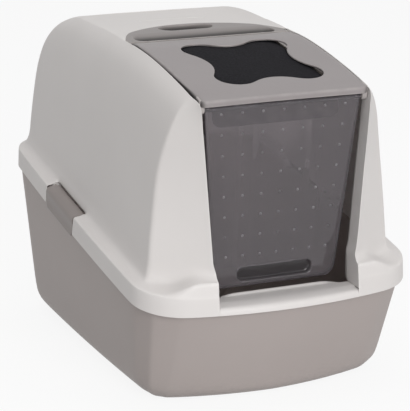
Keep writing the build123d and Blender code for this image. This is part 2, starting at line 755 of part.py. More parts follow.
for side, name in ((-1, "left"), (1, "right")):
    with BuildPart() as latch:
        with BuildSketch(latch_plane(latch_rear_y)):
            inner = latch_face - latch_wall
            with BuildLine():
                Polyline((side * latch_axis_half, latch_axis_rise + latch_barrel_radius),
                         (side * (latch_face - 7), latch_axis_rise + 2.5),
                         (side * latch_face, latch_axis_rise - 4),
                         (side * latch_face, -latch_drop), (side * inner, -latch_drop),
                         (side * inner, latch_axis_rise - 5.5), (side * (inner - 5.5), latch_axis_rise - 0.7),
                         (side * latch_axis_half, latch_axis_rise), close=True)
            make_face()
            with Locations((side * latch_axis_half, latch_axis_rise)):
                Circle(latch_barrel_radius)
                Circle(latch_pin_diameter / 2 + running_gap, mode=Mode.SUBTRACT)
        extrude(amount=latch_run)
    latch.part.label = "latch_" + name
    export_step(latch.part, "parts/latch_" + name + ".step")

    with BuildPart() as latch_pin:
        with BuildSketch(latch_plane(latch_rear_y + latch_end_gap + lug_thickness)):
            with Locations((side * latch_axis_half, latch_axis_rise)):
                Circle(latch_pin_diameter / 2)
        extrude(amount=latch_run + 2 * (latch_end_gap + lug_thickness))
    latch_pin.part.label = "latch_pin_" + name
    export_step(latch_pin.part, "parts/latch_pin_" + name + ".step")

    with BuildPart() as lid_pin:
        with BuildSketch(Plane.YZ.offset(side * (lid_half_width - lid_boss_length))):
            with Locations((lid_axis_y, lid_axis_z)):
                Circle(hinge_pin_diameter / 2)
        extrude(amount=side * (hinge_pin_end - lid_half_width + lid_boss_length))
    lid_pin.part.label = "lid_hinge_pin_" + name
    export_step(lid_pin.part, "parts/lid_hinge_pin_" + name + ".step")

    with BuildPart() as door_pin:
        with BuildSketch(Plane.YZ.offset(side * (door_top_half - door_pin_grip))):
            with Locations((door_axis_front, door_axis_height)):
                Circle(door_pin_diameter / 2)
        extrude(amount=side * (door_pin_end - door_top_half + door_pin_grip))
    door_pin.part.label = "door_hinge_pin_" + name
    export_step(door_pin.part, "parts/door_hinge_pin_" + name + ".step")
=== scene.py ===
import math
import random

import bmesh
import bpy
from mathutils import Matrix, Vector


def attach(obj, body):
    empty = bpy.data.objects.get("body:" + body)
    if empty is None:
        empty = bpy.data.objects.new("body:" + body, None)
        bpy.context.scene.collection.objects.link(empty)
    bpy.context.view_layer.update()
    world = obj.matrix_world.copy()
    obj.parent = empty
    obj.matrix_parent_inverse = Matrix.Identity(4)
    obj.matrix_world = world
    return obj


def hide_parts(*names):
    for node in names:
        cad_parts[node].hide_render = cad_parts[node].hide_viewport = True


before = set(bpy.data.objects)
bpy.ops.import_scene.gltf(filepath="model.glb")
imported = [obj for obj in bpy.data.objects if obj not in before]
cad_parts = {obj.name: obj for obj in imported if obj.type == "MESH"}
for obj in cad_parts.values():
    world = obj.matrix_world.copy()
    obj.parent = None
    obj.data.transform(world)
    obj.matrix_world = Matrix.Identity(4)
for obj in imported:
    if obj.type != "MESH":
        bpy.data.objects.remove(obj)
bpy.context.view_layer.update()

mm = 0.001
print("frame loaded")


def ease(share):
    share = min(1.0, max(0.0, share))
    return share * share * (3 - 2 * share)


def blend(a, b, share):
    return a + (b - a) * share


def smoothTable(points):
    # a curve through (place, value) pairs that never overshoots
    places = [p[0] for p in points]
    values = [p[1] for p in points]
    last = len(points) - 1
    slopes = [(values[i + 1] - values[i]) / (places[i + 1] - places[i]) for i in range(last)]
    tangents = [slopes[0]]
    for before, after in zip(slopes, slopes[1:]):
        tangents.append(0 if before * after <= 0 else 2 * before * after / (before + after))
    tangents.append(slopes[-1])

    def at(place):
        if place <= places[0]:
            return values[0]
        if place >= places[-1]:
            return values[-1]
        i = max(k for k in range(last) if places[k] <= place)
        width = places[i + 1] - places[i]
        t = (place - places[i]) / width
        rise = (2 * t ** 3 - 3 * t ** 2 + 1) * values[i] + (3 * t ** 2 - 2 * t ** 3) * values[i + 1]
        return rise + width * ((t ** 3 - 2 * t ** 2 + t) * tangents[i] + (t ** 3 - t ** 2) * tangents[i + 1])

    return at


def addGrid(bm, rows, closed=False):
    made = [[bm.verts.new(Vector(p) * mm) for p in row] for row in rows]
    for lower, upper in zip(made, made[1:]):
        count = len(lower)
        for i in range(count if closed else count - 1):
            j = (i + 1) % count
            bm.faces.new((lower[i], lower[j], upper[j], upper[i]))
    return made


def creaseLine(bm, verts, sharpness):
    layer = bm.edges.layers.float.get("crease_edge") or bm.edges.layers.float.new("crease_edge")
    for a, b in zip(verts, verts[1:]):
        edge = bm.edges.get((a, b))
        if edge:
            edge[layer] = sharpness


def addSolid(bm, rings):
    # closed rings joined in order, with a cap on each end
    made = addGrid(bm, rings, closed=True)
    bm.faces.new(made[0][::-1])
    bm.faces.new(made[-1])
    return made


def arcPoints(x, y, radius, angles):
    # points of a circle at angles in degrees
    return [(x + radius * math.cos(math.radians(a)), y + radius * math.sin(math.radians(a))) for a in angles]


def fullTurn(count):
    return [2 * math.pi * k / count for k in range(count)]


def addRod(bm, start, end, radius, sides=20):
    # a round bar along X with slightly rounded ends, all in mm
    low, high = sorted((start[0], end[0]))
    soft = 0.4
    rings = []
    for x, r in ((low, radius - soft), (low + soft, radius), (high - soft, radius), (high, radius - soft)):
        rings.append([(x, start[1] + r * math.cos(a), start[2] + r * math.sin(a)) for a in fullTurn(sides)])
    addSolid(bm, rings)


def addPlate(bm, outline, direction, depth):
    # a flat outline pushed along a direction, closed at both ends
    first = [bm.verts.new(Vector(p) * mm) for p in outline]
    push = Vector(direction).normalized() * depth
    second = [bm.verts.new((Vector(p) + push) * mm) for p in outline]
    bm.faces.new(first[::-1])
    bm.faces.new(second)
    for i in range(len(first)):
        j = (i + 1) % len(first)
        bm.faces.new((first[i], first[j], second[j], second[i]))


def makePiece(bm, name, body, nodes, material, weld=0.02):
    if weld:
        bmesh.ops.remove_doubles(bm, verts=bm.verts, dist=weld * mm)
    bmesh.ops.recalc_face_normals(bm, faces=bm.faces)
    mesh = bpy.data.meshes.new(name)
    bm.to_mesh(mesh)
    bm.free()
    mesh.polygons.foreach_set("use_smooth", [True] * len(mesh.polygons))
    piece = bpy.data.objects.new(name, mesh)
    bpy.context.scene.collection.objects.link(piece)
    piece.data.materials.append(material)
    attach(piece, body)
    if nodes:
        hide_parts(*nodes)
    return piece


def subdivide(piece, levels):
    step = piece.modifiers.new("smooth", "SUBSURF")
    step.levels = levels
    step.render_levels = levels


def thicken(piece, thickness):
    # a wall laid behind the modelled face, on the side away from its normal
    step = piece.modifiers.new("wall", "SOLIDIFY")
    step.thickness = thickness * mm
    step.offset = -1.0
    step.use_even_offset = False
    step.thickness_clamp = 0.9


def soften(piece, width):
    # rounds the edges that turn by more than 35 degrees
    step = piece.modifiers.new("softEdges", "BEVEL")
    step.width = width * mm
    step.segments = 2
    step.limit_method = "ANGLE"
    step.angle_limit = math.radians(35)
    step.harden_normals = False


def newGroup(name, inputs, outputs):
    # an input is a colour where its value is a tuple, and a plain value otherwise
    group = bpy.data.node_groups.new(name, "ShaderNodeTree")
    for label, value in inputs.items():
        kind = "NodeSocketColor" if isinstance(value, tuple) else "NodeSocketFloat"
        socket = group.interface.new_socket(label, in_out="INPUT", socket_type=kind)
        socket.default_value = value
    for label in outputs:
        kind = "NodeSocketColor" if label == "Color" else "NodeSocketFloat"
        group.interface.new_socket(label, in_out="OUTPUT", socket_type=kind)
    return group, group.nodes.new("NodeGroupInput").outputs, group.nodes.new("NodeGroupOutput").inputs


def addNode(tree, kind, links=None, **settings):
    node = tree.nodes.new(kind)
    for key, value in settings.items():
        setattr(node, key, value)
    for key, value in (links or {}).items():
        if hasattr(value, "is_output"):
            tree.links.new(value, node.inputs[key])
        else:
            node.inputs[key].default_value = value
    return node


def objectPlace(tree):
    return addNode(tree, "ShaderNodeTexCoord").outputs["Object"]


def noise(tree, place, size, detail, roughness=0.5):
    node = addNode(tree, "ShaderNodeTexNoise", {"Vector": place, "Scale": size, "Detail": detail,
                   "Roughness": roughness})
    return node.outputs["Fac"]


def spread(tree, value, low, high, start=0.0, end=1.0, **settings):
    # carries a value between low and high over to start and end
    node = addNode(tree, "ShaderNodeMapRange", {"Value": value, "From Min": low, "From Max": high,
                   "To Min": start, "To Max": end}, **settings)
    return node.outputs["Result"]


def reckon(tree, operation, *values):
    return addNode(tree, "ShaderNodeMath", dict(enumerate(values)), operation=operation).outputs[0]


def mixNumbers(tree, share, first, second):
    return addNode(tree, "ShaderNodeMix", {0: share, 2: first, 3: second}).outputs[0]


def mixTones(tree, share, first, second):
    node = addNode(tree, "ShaderNodeMix", {0: share, 6: first, 7: second}, data_type="RGBA")
    return node.outputs[2]


def tintBy(group, mask, given, out, first, second):
    # the first colour goes over to the second where the mask says, as far as Amount lets it
    share = reckon(group, "MULTIPLY", mask, given["Amount"])
    group.links.new(mixTones(group, share, given[first], given[second]), out["Color"])
    return group


def makeMouldedGrain():
    # the fine spark-eroded texture of a moulded face, with slow flow waves under it
    group, given, out = newGroup("mouldedGrain", {"Grain Size": 900.0, "Wave Size": 18.0, "Grain Share": 0.5},
                                 ["Height", "Mask"])
    place = objectPlace(group)
    fine = noise(group, place, given["Grain Size"], 2.0, 0.6)
    slow = noise(group, place, given["Wave Size"], 1.0)
    group.links.new(mixNumbers(group, given["Grain Share"], slow, fine), out["Height"])
    group.links.new(fine, out["Mask"])
    return group


def makeSoftMottle():
    # slow drifts of tone, as pigment gives in a large moulding
    group, given, out = newGroup("softMottle", {"Base": (0.5, 0.5, 0.5, 1), "Drift": (0.45, 0.45, 0.45, 1),
                                                "Size": 6.0, "Amount": 0.5}, ["Color"])
    cloud = noise(group, objectPlace(group), given["Size"], 3.0)
    return tintBy(group, spread(group, cloud, 0.35, 0.65), given, out, "Base", "Drift")


def makeEdgeWearAndHighlight():
    # edges painted paler, broken up by noise: partly rubbed wear, partly painted highlight where edges catch
    # the light
    group, given, out = newGroup("edgeWearAndHighlight", {"Color": (0.5, 0.5, 0.5, 1), "Worn Lit Color": (0.7, 0.7, 0.7, 1),
                                              "Reach": 0.06, "Amount": 0.4}, ["Color"])
    pointed = addNode(group, "ShaderNodeNewGeometry").outputs["Pointiness"]
    edge = spread(group, pointed, 0.505, reckon(group, "ADD", 0.5, given["Reach"]))
    broken = spread(group, noise(group, objectPlace(group), 60.0, 3.0), 0.35, 0.6, 0.35, 1.0)
    return tintBy(group, reckon(group, "MULTIPLY", edge, broken), given, out, "Color", "Worn Lit Color")


def makeLowSpecks():
    # specks of a second tone that fade out upwards from the floor level
    group, given, out = newGroup("lowSpecks", {
        "Color": (0.5, 0.5, 0.5, 1), "Speck Color": (0.6, 0.58, 0.55, 1), "Fade Height": 0.08, "Amount": 0.2},
        ["Color"])
    place = objectPlace(group)
    height = addNode(group, "ShaderNodeSeparateXYZ", {0: place}).outputs["Z"]
    low = spread(group, height, 0.0, given["Fade Height"], 1.0, 0.0)
    specks = spread(group, noise(group, place, 220.0, 4.0, 0.7), 0.4, 0.7)
    return tintBy(group, reckon(group, "MULTIPLY", low, specks), given, out, "Color", "Speck Color")


def makePaintedRecessShade():
    # painted shade: hollows below a tilted top face go darker with depth, standing in for the shade that
    # gathers in them
    group, given, out = newGroup("paintedRecessShade", {
        "Color": (0.5, 0.5, 0.5, 1), "Shade Color": (0.1, 0.1, 0.1, 1), "Level": 0.46, "Tilt": 0.0,
        "Start": 0.0005, "Reach": 0.006, "Amount": 0.8, "Sides Only": 0.0}, ["Color"])
    place = addNode(group, "ShaderNodeTexCoord").outputs
    spot = addNode(group, "ShaderNodeSeparateXYZ", {0: place["Object"]}).outputs
    face = addNode(group, "ShaderNodeSeparateXYZ", {0: place["Normal"]}).outputs
    top = reckon(group, "MULTIPLY_ADD", spot["Y"], given["Tilt"], given["Level"])
    depth = reckon(group, "SUBTRACT", top, spot["Z"])
    end = reckon(group, "ADD", given["Start"], given["Reach"])
    deep = spread(group, depth, given["Start"], end, interpolation_type="SMOOTHSTEP")
    facing = mixNumbers(group, given["Sides Only"], 1.0, reckon(group, "ABSOLUTE", face["X"]))
    return tintBy(group, reckon(group, "MULTIPLY", deep, facing), given, out, "Color", "Shade Color")


mouldedGrain = makeMouldedGrain()
softMottle = makeSoftMottle()
edgeWearAndHighlight = makeEdgeWearAndHighlight()
lowSpecks = makeLowSpecks()
paintedRecessShade = makePaintedRecessShade()


def placeGroup(tree, group, links):
    return addNode(tree, "ShaderNodeGroup", links, node_tree=group).outputs


def tone(red, green, blue):
    # screen values 0-255 to a linear colour
    def linear(v):
        v /= 255
        return v / 12.92 if v <= 0.04045 else ((v + 0.055) / 1.055) ** 2.4
    return (linear(red), linear(green), linear(blue), 1.0)


def startMaterial(name):
    material = bpy.data.materials.new(name)
    material.use_nodes = True
    tree = material.node_tree
    tree.nodes.clear()
    shader = addNode(tree, "ShaderNodeBsdfPrincipled")
    return material, tree, shader, addNode(tree, "ShaderNodeOutputMaterial")


def joinSurface(tree, shader, out, color, rough, height, strength, depth):
    bump = addNode(tree, "ShaderNodeBump", {"Strength": strength, "Distance": depth, "Height": height})
    for label, value in (("Base Color", color), ("Roughness", rough), ("Normal", bump.outputs["Normal"])):
        tree.links.new(value, shader.inputs[label])
    tree.links.new(shader.outputs[0], out.inputs[0])


def mouldedPlastic(name, look):
    # low specks, painted recess shade and clearness come in only where the look names them
    material, tree, shader, out = startMaterial(name)
    color = placeGroup(tree, softMottle, {"Base": tone(*look["base"]), "Drift": tone(*look["drift"]),
                       "Size": look["driftSize"], "Amount": look["driftAmount"]})["Color"]
    if "speckTone" in look:
        color = placeGroup(tree, lowSpecks, {"Color": color, "Speck Color": tone(*look["speckTone"]),
                           "Fade Height": look["speckHeight"], "Amount": look["speckAmount"]})["Color"]
    # paler edges: rubbed wear and painted highlight
    color = placeGroup(tree, edgeWearAndHighlight, {"Color": color, "Worn Lit Color": tone(*look["wornLit"]),
                       "Reach": look["wearLitReach"], "Amount": look["wearLitAmount"]})["Color"]
    # painted shade: hollows under the top face are darkened towards the shade colour
    if "recessShading" in look:
        hollow = dict(look["recessShading"], **{"Color": color, "Shade Color": tone(*look["recessShadeTone"])})
        color = placeGroup(tree, paintedRecessShade, hollow)["Color"]
    grain = placeGroup(tree, mouldedGrain, {"Grain Size": look["grainSize"], "Wave Size": look["waveSize"],
                       "Grain Share": look["grainShare"]})
    rough = spread(tree, grain["Mask"], 0.3, 0.7, look["roughLow"], look["roughHigh"])
    shader.inputs["IOR"].default_value = look["ior"]
    shader.inputs["Transmission Weight"].default_value = look.get("clear", 0.0)
    joinSurface(tree, shader, out, color, rough, grain["Height"], look["bump"], look["bumpDepth"])
    return material


hoodLook = dict(base=(210, 206, 204), drift=(205, 201, 199), driftSize=5.0, driftAmount=0.6,
                speckTone=(190, 182, 172), speckHeight=0.02, speckAmount=0.1, wornLit=(232, 229, 226), wearLitReach=0.05,
                wearLitAmount=0.35, grainSize=1100.0, waveSize=14.0, grainShare=0.75, roughLow=0.42,
                roughHigh=0.54, bump=0.16, bumpDepth=0.0004, ior=1.48)
panLook = dict(hoodLook, base=(164, 155, 152), drift=(160, 151, 148), driftSize=6.0, speckTone=(196, 188, 180),
               speckHeight=0.05, speckAmount=0.16, wornLit=(188, 181, 177), grainSize=1000.0, waveSize=12.0,
               grainShare=0.8, roughLow=0.45, roughHigh=0.58, bump=0.2)
lidLook = dict(hoodLook, base=(140, 134, 134), drift=(136, 130, 130), driftSize=8.0, driftAmount=0.5,
               speckTone=(180, 172, 166), wornLit=(192, 186, 182), wearLitAmount=0.45, grainSize=1300.0, waveSize=16.0,
               grainShare=0.85, roughLow=0.4, roughHigh=0.52)
# the lid panel's long side walls are darkened as painted shade, standing in for the dark shaded gap between
# the lid and the crests
lidPanelLook = dict(lidLook, recessShadeTone=(38, 35, 34),
                    recessShading={"Level": 0.46663, "Tilt": 0.1557, "Start": 0.0007, "Reach": 0.002, "Amount": 0.92,
                            "Sides Only": 1.0})
latchLook = dict(lidLook, base=(136, 128, 125), drift=(130, 122, 119), wornLit=(168, 160, 156))
# the handle is the lid's taupe darkened as painted shade, with painted shade deepening in the finger slot and
# thumb dish
handleShadeLook = dict(lidLook, base=(130, 124, 122), drift=(125, 119, 117), recessShadeTone=(40, 36, 35),
                  recessShading={"Level": 0.45848, "Tilt": 0.024, "Start": 0.0004, "Reach": 0.0055, "Amount": 0.95})
# the header behind the door is the lid's taupe made dark brown as painted shade
headerShadeLook = dict(lidLook, base=(46, 32, 29), drift=(42, 29, 26))
innerLook = dict(panLook, base=(126, 118, 114), drift=(118, 110, 106), wornLit=(150, 142, 137))
# the smoked door: its grip recess and turned-back flanges are darkened as painted shade, and its paler edges
# are painted highlight
smokedLook = dict(base=(170, 163, 168), drift=(162, 156, 162), driftSize=9.0, driftAmount=0.6,
                  wornLit=(205, 200, 205), wearLitReach=0.05, wearLitAmount=0.5, grainSize=700.0, waveSize=9.0,
                  grainShare=0.25, roughLow=0.04, roughHigh=0.08, bump=0.08, bumpDepth=0.0006, ior=1.46,
                  clear=0.87, recessShadeTone=(84, 80, 84),
                  recessShading={"Level": -2.1017, "Tilt": -9.845, "Start": -0.012, "Reach": -0.045, "Amount": 0.8})
# the bumps are the door's own smoked plastic, made darker and cloudier as painted shade so that they read as
# dark dots
bumpShadeLook = dict(smokedLook, base=(84, 79, 82), drift=(78, 73, 77), roughLow=0.5, roughHigh=0.6, clear=0.3)

hoodPlastic = mouldedPlastic("hoodPlastic", hoodLook)
panPlastic = mouldedPlastic("panPlastic", panLook)
lidPlastic = mouldedPlastic("lidPlastic", lidLook)
lidPanelPlastic = mouldedPlastic("lidPanelPlastic", lidPanelLook)
latchPlastic = mouldedPlastic("latchPlastic", latchLook)
innerPlastic = mouldedPlastic("innerPlastic", innerLook)
handleShadePlastic = mouldedPlastic("handleShadePlastic", handleShadeLook)
headerShadePlastic = mouldedPlastic("headerShadePlastic", headerShadeLook)
smokedPlastic = mouldedPlastic("smokedPlastic", smokedLook)
bumpShadePlastic = mouldedPlastic("bumpShadePlastic", bumpShadeLook)


def makeCarbonFoam(look):
    material, tree, shader, out = startMaterial("carbonFoam")
    place = objectPlace(tree)
    pores = addNode(tree, "ShaderNodeTexVoronoi", {"Vector": place, "Scale": look["poreSize"]}, feature="F1")
    hollow = pores.outputs["Distance"]
    fuzz = noise(tree, place, look["fuzzSize"], 3.0)
    color = mixTones(tree, spread(tree, hollow, 0.1, 0.7), tone(*look["deep"]), tone(*look["light"]))
    color = placeGroup(tree, lowSpecks, {"Color": color, "Speck Color": tone(*look["speckTone"]),
                       "Fade Height": look["speckHeight"], "Amount": look["speckAmount"]})["Color"]
    rough = spread(tree, fuzz, 0.3, 0.7, 0.85, 1.0)
    shader.inputs["Specular IOR Level"].default_value = look["shine"]
    joinSurface(tree, shader, out, color, rough, mixNumbers(tree, 0.4, hollow, fuzz), look["bump"],
                look["bumpDepth"])
    return material


foamLook = dict(deep=(8, 8, 9), light=(30, 29, 33), speckTone=(70, 68, 74), speckHeight=2.0, speckAmount=0.12,
                poreSize=520.0, fuzzSize=1400.0, bump=0.7, bumpDepth=0.0008, shine=0.12)
carbonFoam = makeCarbonFoam(foamLook)
print("materials made")


# hinge lines that run across the box: place along it and height
doorAxis = (-251.0, 409.0)
lidAxis = (-28.0, 451.07)
trayAxis = (-30.3, 448.31)
rim = dict(half=206.0, rear=287.0, corner=-262.0, height=187.0, slope=10.0, bow=25.0, bulge=5.0,
           frontRadius=68.0, rearRadius=44.0, squareLift=12.0)
rimRise = math.tan(math.radians(rim["slope"]))


def rimAt(y):
    return rim["height"] + y * rimRise


def besideRim(x, y, lift):
    # a spot on a profile that stands square to the sloping rim
    slope = math.radians(rim["slope"])
    return (x, y - (lift - rim["squareLift"]) * math.sin(slope), rimAt(y) + lift * math.cos(slope))


class Outline:
    # right half of a plan outline with bowed sides and front: parts 0-4 run from front to rear middle
    def __init__(self, half, rear, corner, bow, bulge, frontRadius, rearRadius):
        self.rear = rear
        reach = (rear - corner) / 2
        sideR = (reach ** 2 + bulge ** 2) / (2 * bulge)
        self.side = (half - sideR, (rear + corner) / 2, sideR)
        span = half - bulge
        frontR = (span ** 2 + bow ** 2) / (2 * bow)
        self.front = (0.0, corner - bow + frontR, frontR)
        self.frontFillet = self.meet(frontRadius)
        cx, cy, r = self.side
        y = rear - rearRadius
        self.rearFillet = (cx + math.sqrt((r - rearRadius) ** 2 - (y - cy) ** 2), y, rearRadius)
        self.touches = [self.away(self.front, self.frontFillet), self.away(self.side, self.frontFillet),
                        self.away(self.side, self.rearFillet)]

    def meet(self, radius):
        ax, ay, ra = self.side
        bx, by, rb = self.front
        ra, rb = ra - radius, rb - radius
        dx, dy = bx - ax, by - ay
        gap = math.hypot(dx, dy)
        along = (ra * ra - rb * rb + gap * gap) / (2 * gap)
        off = math.sqrt(ra * ra - along * along)
        spots = [(ax + dx / gap * along + s * dy / gap * off, ay + dy / gap * along - s * dx / gap * off)
                 for s in (-1, 1)]
        x, y = min(spots, key=lambda p: p[1])
        return (x, y, radius)

    def away(self, circle, inner):
        dx, dy = inner[0] - circle[0], inner[1] - circle[1]
        gap = math.hypot(dx, dy)
        return (circle[0] + dx / gap * circle[2], circle[1] + dy / gap * circle[2])

    def arc(self, circle, start, end, share):
        a = math.atan2(start[1] - circle[1], start[0] - circle[0])
        b = math.atan2(end[1] - circle[1], end[0] - circle[0])
        angle = blend(a, b, share)
        return (circle[0] + circle[2] * math.cos(angle), circle[1] + circle[2] * math.sin(angle))

    def at(self, part, share):
        if part == 0:
            return self.arc(self.front, (0, self.front[1] - self.front[2]), self.touches[0], share)
        if part == 1:
            return self.arc(self.frontFillet, self.touches[0], self.touches[1], share)
        if part == 2:
            return self.arc(self.side, self.touches[1], self.touches[2], share)
        if part == 3:
            return self.arc(self.rearFillet, self.touches[2], (self.rearFillet[0], self.rear), share)
        return (blend(self.rearFillet[0], 0, share), self.rear)

    def hit(self, x, y, angle):
        # where a ray from a point inside crosses the outline
        ux, uy = math.cos(angle), math.sin(angle)
        spots = [self.at(part, k / 60) for part in range(5) for k in range(61)]
        best = None
        for p, q in zip(spots, spots[1:]):
            a = (p[0] - x) * uy - (p[1] - y) * ux
            b = (q[0] - x) * uy - (q[1] - y) * ux
            if a * b <= 0 and a != b:
                t = a / (a - b)
                sx, sy = blend(p[0], q[0], t), blend(p[1], q[1], t)
                ahead = (sx - x) * ux + (sy - y) * uy
                if ahead > 0 and (best is None or ahead < best[0]):
                    best = (ahead, sx, sy)
        return best[1], best[2]


rimOutline = Outline(rim["half"], rim["rear"], rim["corner"], rim["bow"], rim["bulge"], rim["frontRadius"],
                     rim["rearRadius"])


def mirrored(points):
    # right-half points, front middle to rear middle, made into a closed ring
    return points + [(-p[0],) + tuple(p[1:]) for p in points[-2:0:-1]]


panShape = dict(topHalf=201.8, topRear=282.8, topCorner=-257.8, topFrontRadius=64.0, topRearRadius=40.0,
                topLift=8.0, baseHalf=183.5, baseRear=271.0, baseCorner=-202.0, baseBow=33.0,
                baseFrontRadius=44.0, baseRearRadius=48.0, floorRadii=(18, 24, 34, 40, 42, 38),
                floorMiddle=25.0, creaseShare=0.8, wall=3.0, steps=(9, 12, 16, 8, 8))


def buildPan(shape):
    top = Outline(shape["topHalf"], shape["topRear"], shape["topCorner"], rim["bow"], rim["bulge"],
                  shape["topFrontRadius"], shape["topRearRadius"])
    base = Outline(shape["baseHalf"], shape["baseRear"], shape["baseCorner"], shape["baseBow"], rim["bulge"],
                   shape["baseFrontRadius"], shape["baseRearRadius"])
    stations = [(part, k / n) for part, n in enumerate(shape["steps"]) for k in range(n)] + [(4, 1.0)]

    def radiusAt(station):
        part, share = station
        return blend(shape["floorRadii"][part], shape["floorRadii"][part + 1], share)

    def creased(outline, station):
        # each front corner is two flatter turns that meet in a soft upright crease
        part, share = station
        x, y = outline.at(part, share)
        if part != 1:
            return x, y
        start, end = (0.0, 0.5) if share < 0.5 else (0.5, 1.0)
        first, second = outline.at(1, start), outline.at(1, end)
        along = (share - start) / 0.5
        flat = (blend(first[0], second[0], along), blend(first[1], second[1], along))
        return blend(x, flat[0], shape["creaseShare"]), blend(y, flat[1], shape["creaseShare"])

    def wallPoint(station, height):
        tx, ty = creased(top, station)
        bx, by = creased(base, station)
        share = height / (rimAt(ty) + shape["topLift"])
        return (blend(bx, tx, share), blend(by, ty, share), height)

    def inward(station, distance, height):
        # drawn in towards the middle, square to the outline
        x, y, z = wallPoint(station, height)
        part, share = station
        ahead = base.at(part, min(1.0, share + 0.01))
        behind = base.at(part, max(0.0, share - 0.01))
        dx, dy = ahead[0] - behind[0], ahead[1] - behind[1]
        length = math.hypot(dx, dy)
        return (x - dy / length * distance, y + dx / length * distance, z)

    rows = []
    for share in (0.0, 0.04, 0.3, 0.6, 0.85):
        flat = [inward(s, radiusAt(s), 0.0) for s in stations]
        rows.append([(blend(0.0, x, share), blend(shape["floorMiddle"], y, share), 0.0) for x, y, z in flat])
    for angle in (0, 18, 36, 54, 72, 90):
        a = math.radians(angle)
        rows.append([inward(s, radiusAt(s) * (1 - math.sin(a)), radiusAt(s) * (1 - math.cos(a)))
                     for s in stations])
    for share in (0.2, 0.35, 0.5, 0.65, 0.8, 0.93, 0.985, 1.0):
        row = []
        for s in stations:
            ty = top.at(*s)[1]
            row.append(wallPoint(s, blend(radiusAt(s), rimAt(ty) + shape["topLift"], share)))
        rows.append(row)
    bm = bmesh.new()
    addGrid(bm, [mirrored(r) for r in rows], closed=True)
    pan = makePiece(bm, "panShell", "pan", ["pan"], panPlastic)
    subdivide(pan, 1)
    thicken(pan, shape["wall"])


buildPan(panShape)
print("pan made")


hoodShape = dict(crestHalf=125.0, ledge=24.0, crisp=26.0, crease=-217.0, creaseTop=-236.0, rearCorner=30.0,
                 rearCornerTop=18.0, rearLow=288.0, rearLean=0.0578, roofRearEdge=195.0, roofRadius=77.0,
                 roofTop=461.8, rearTop=461.2, rearFoot=283.0, leanBase=120.0, doorwayFoot=104.0,
                 doorwayBase=180.0, lipY=-266.0, lipTopY=-254.0, lipRise=0.08, lipHalf=123.6, lipCorner=12.0,
                 lipTurn=0.952, jambDepth=27.0, lintel=398.0, lintelFade=14.0, wall=3.0, plinth=16.0,
                 plinthEnd=128.0, plinthFade=24.0, shelfTaper=-58.0, shelfFade=14.0, coveStart=96.0,
                 coveEnd=176.0, coveFade=26.0, handleSide=20.0, handleRear=86.0, handleHalf=120.5,
                 notch=(-2.0, 112.0), notchStep=3.0, notchLift=2.9, notchOut=1.7, creaseTurn=0.55,
                 creaseFade=0.45, facetTurn=-42.0, lugThickness=3.0, lidRodEnds=(123.9, 128.8),
                 lidRodRadius=4.5)
sillShape = dict(top=150.2, rear=-235.0, endRear=-247.0, reliefStart=80.0, reliefFade=9.0, ridge=2.6,
                 ridgeHalf=72.0, ridgeFade=8.0)
# heights of the crests and the roof, and half widths of the wall's foot, along the box
crestAt = smoothTable([(-270, 416.8), (-256, 419.9), (-243, 422.8), (-222, 428.2), (-201, 433.3),
                       (-165, 441.0), (-127, 448.2), (-85, 454.4), (-49.5, 457.6), (-29, 458.3), (32, 462.2),
                       (80, 463.8), (118, 465.0), (144, 466.0), (160, 465.0), (187, 462.6), (205, 460.5)])
roofAt = smoothTable([(-20, 458.0), (20, 458.96), (86, 460.5), (130, 461.0), (204, 461.2)])
footAt = smoothTable([(-270, 178.0), (-217, 180.0), (-120, 182.0), (-20, 184.0), (170, 184.0), (290, 183.0)])
# how much of the foot's width beyond the crest is left at each share of the height
swellAt = smoothTable([(0, 1.0), (0.1, 0.966), (0.2, 0.93), (0.4, 0.835), (0.6, 0.72), (0.7, 0.63),
                       (0.8, 0.53), (0.87, 0.425), (0.92, 0.33), (0.965, 0.185), (1.0, 0.0)])


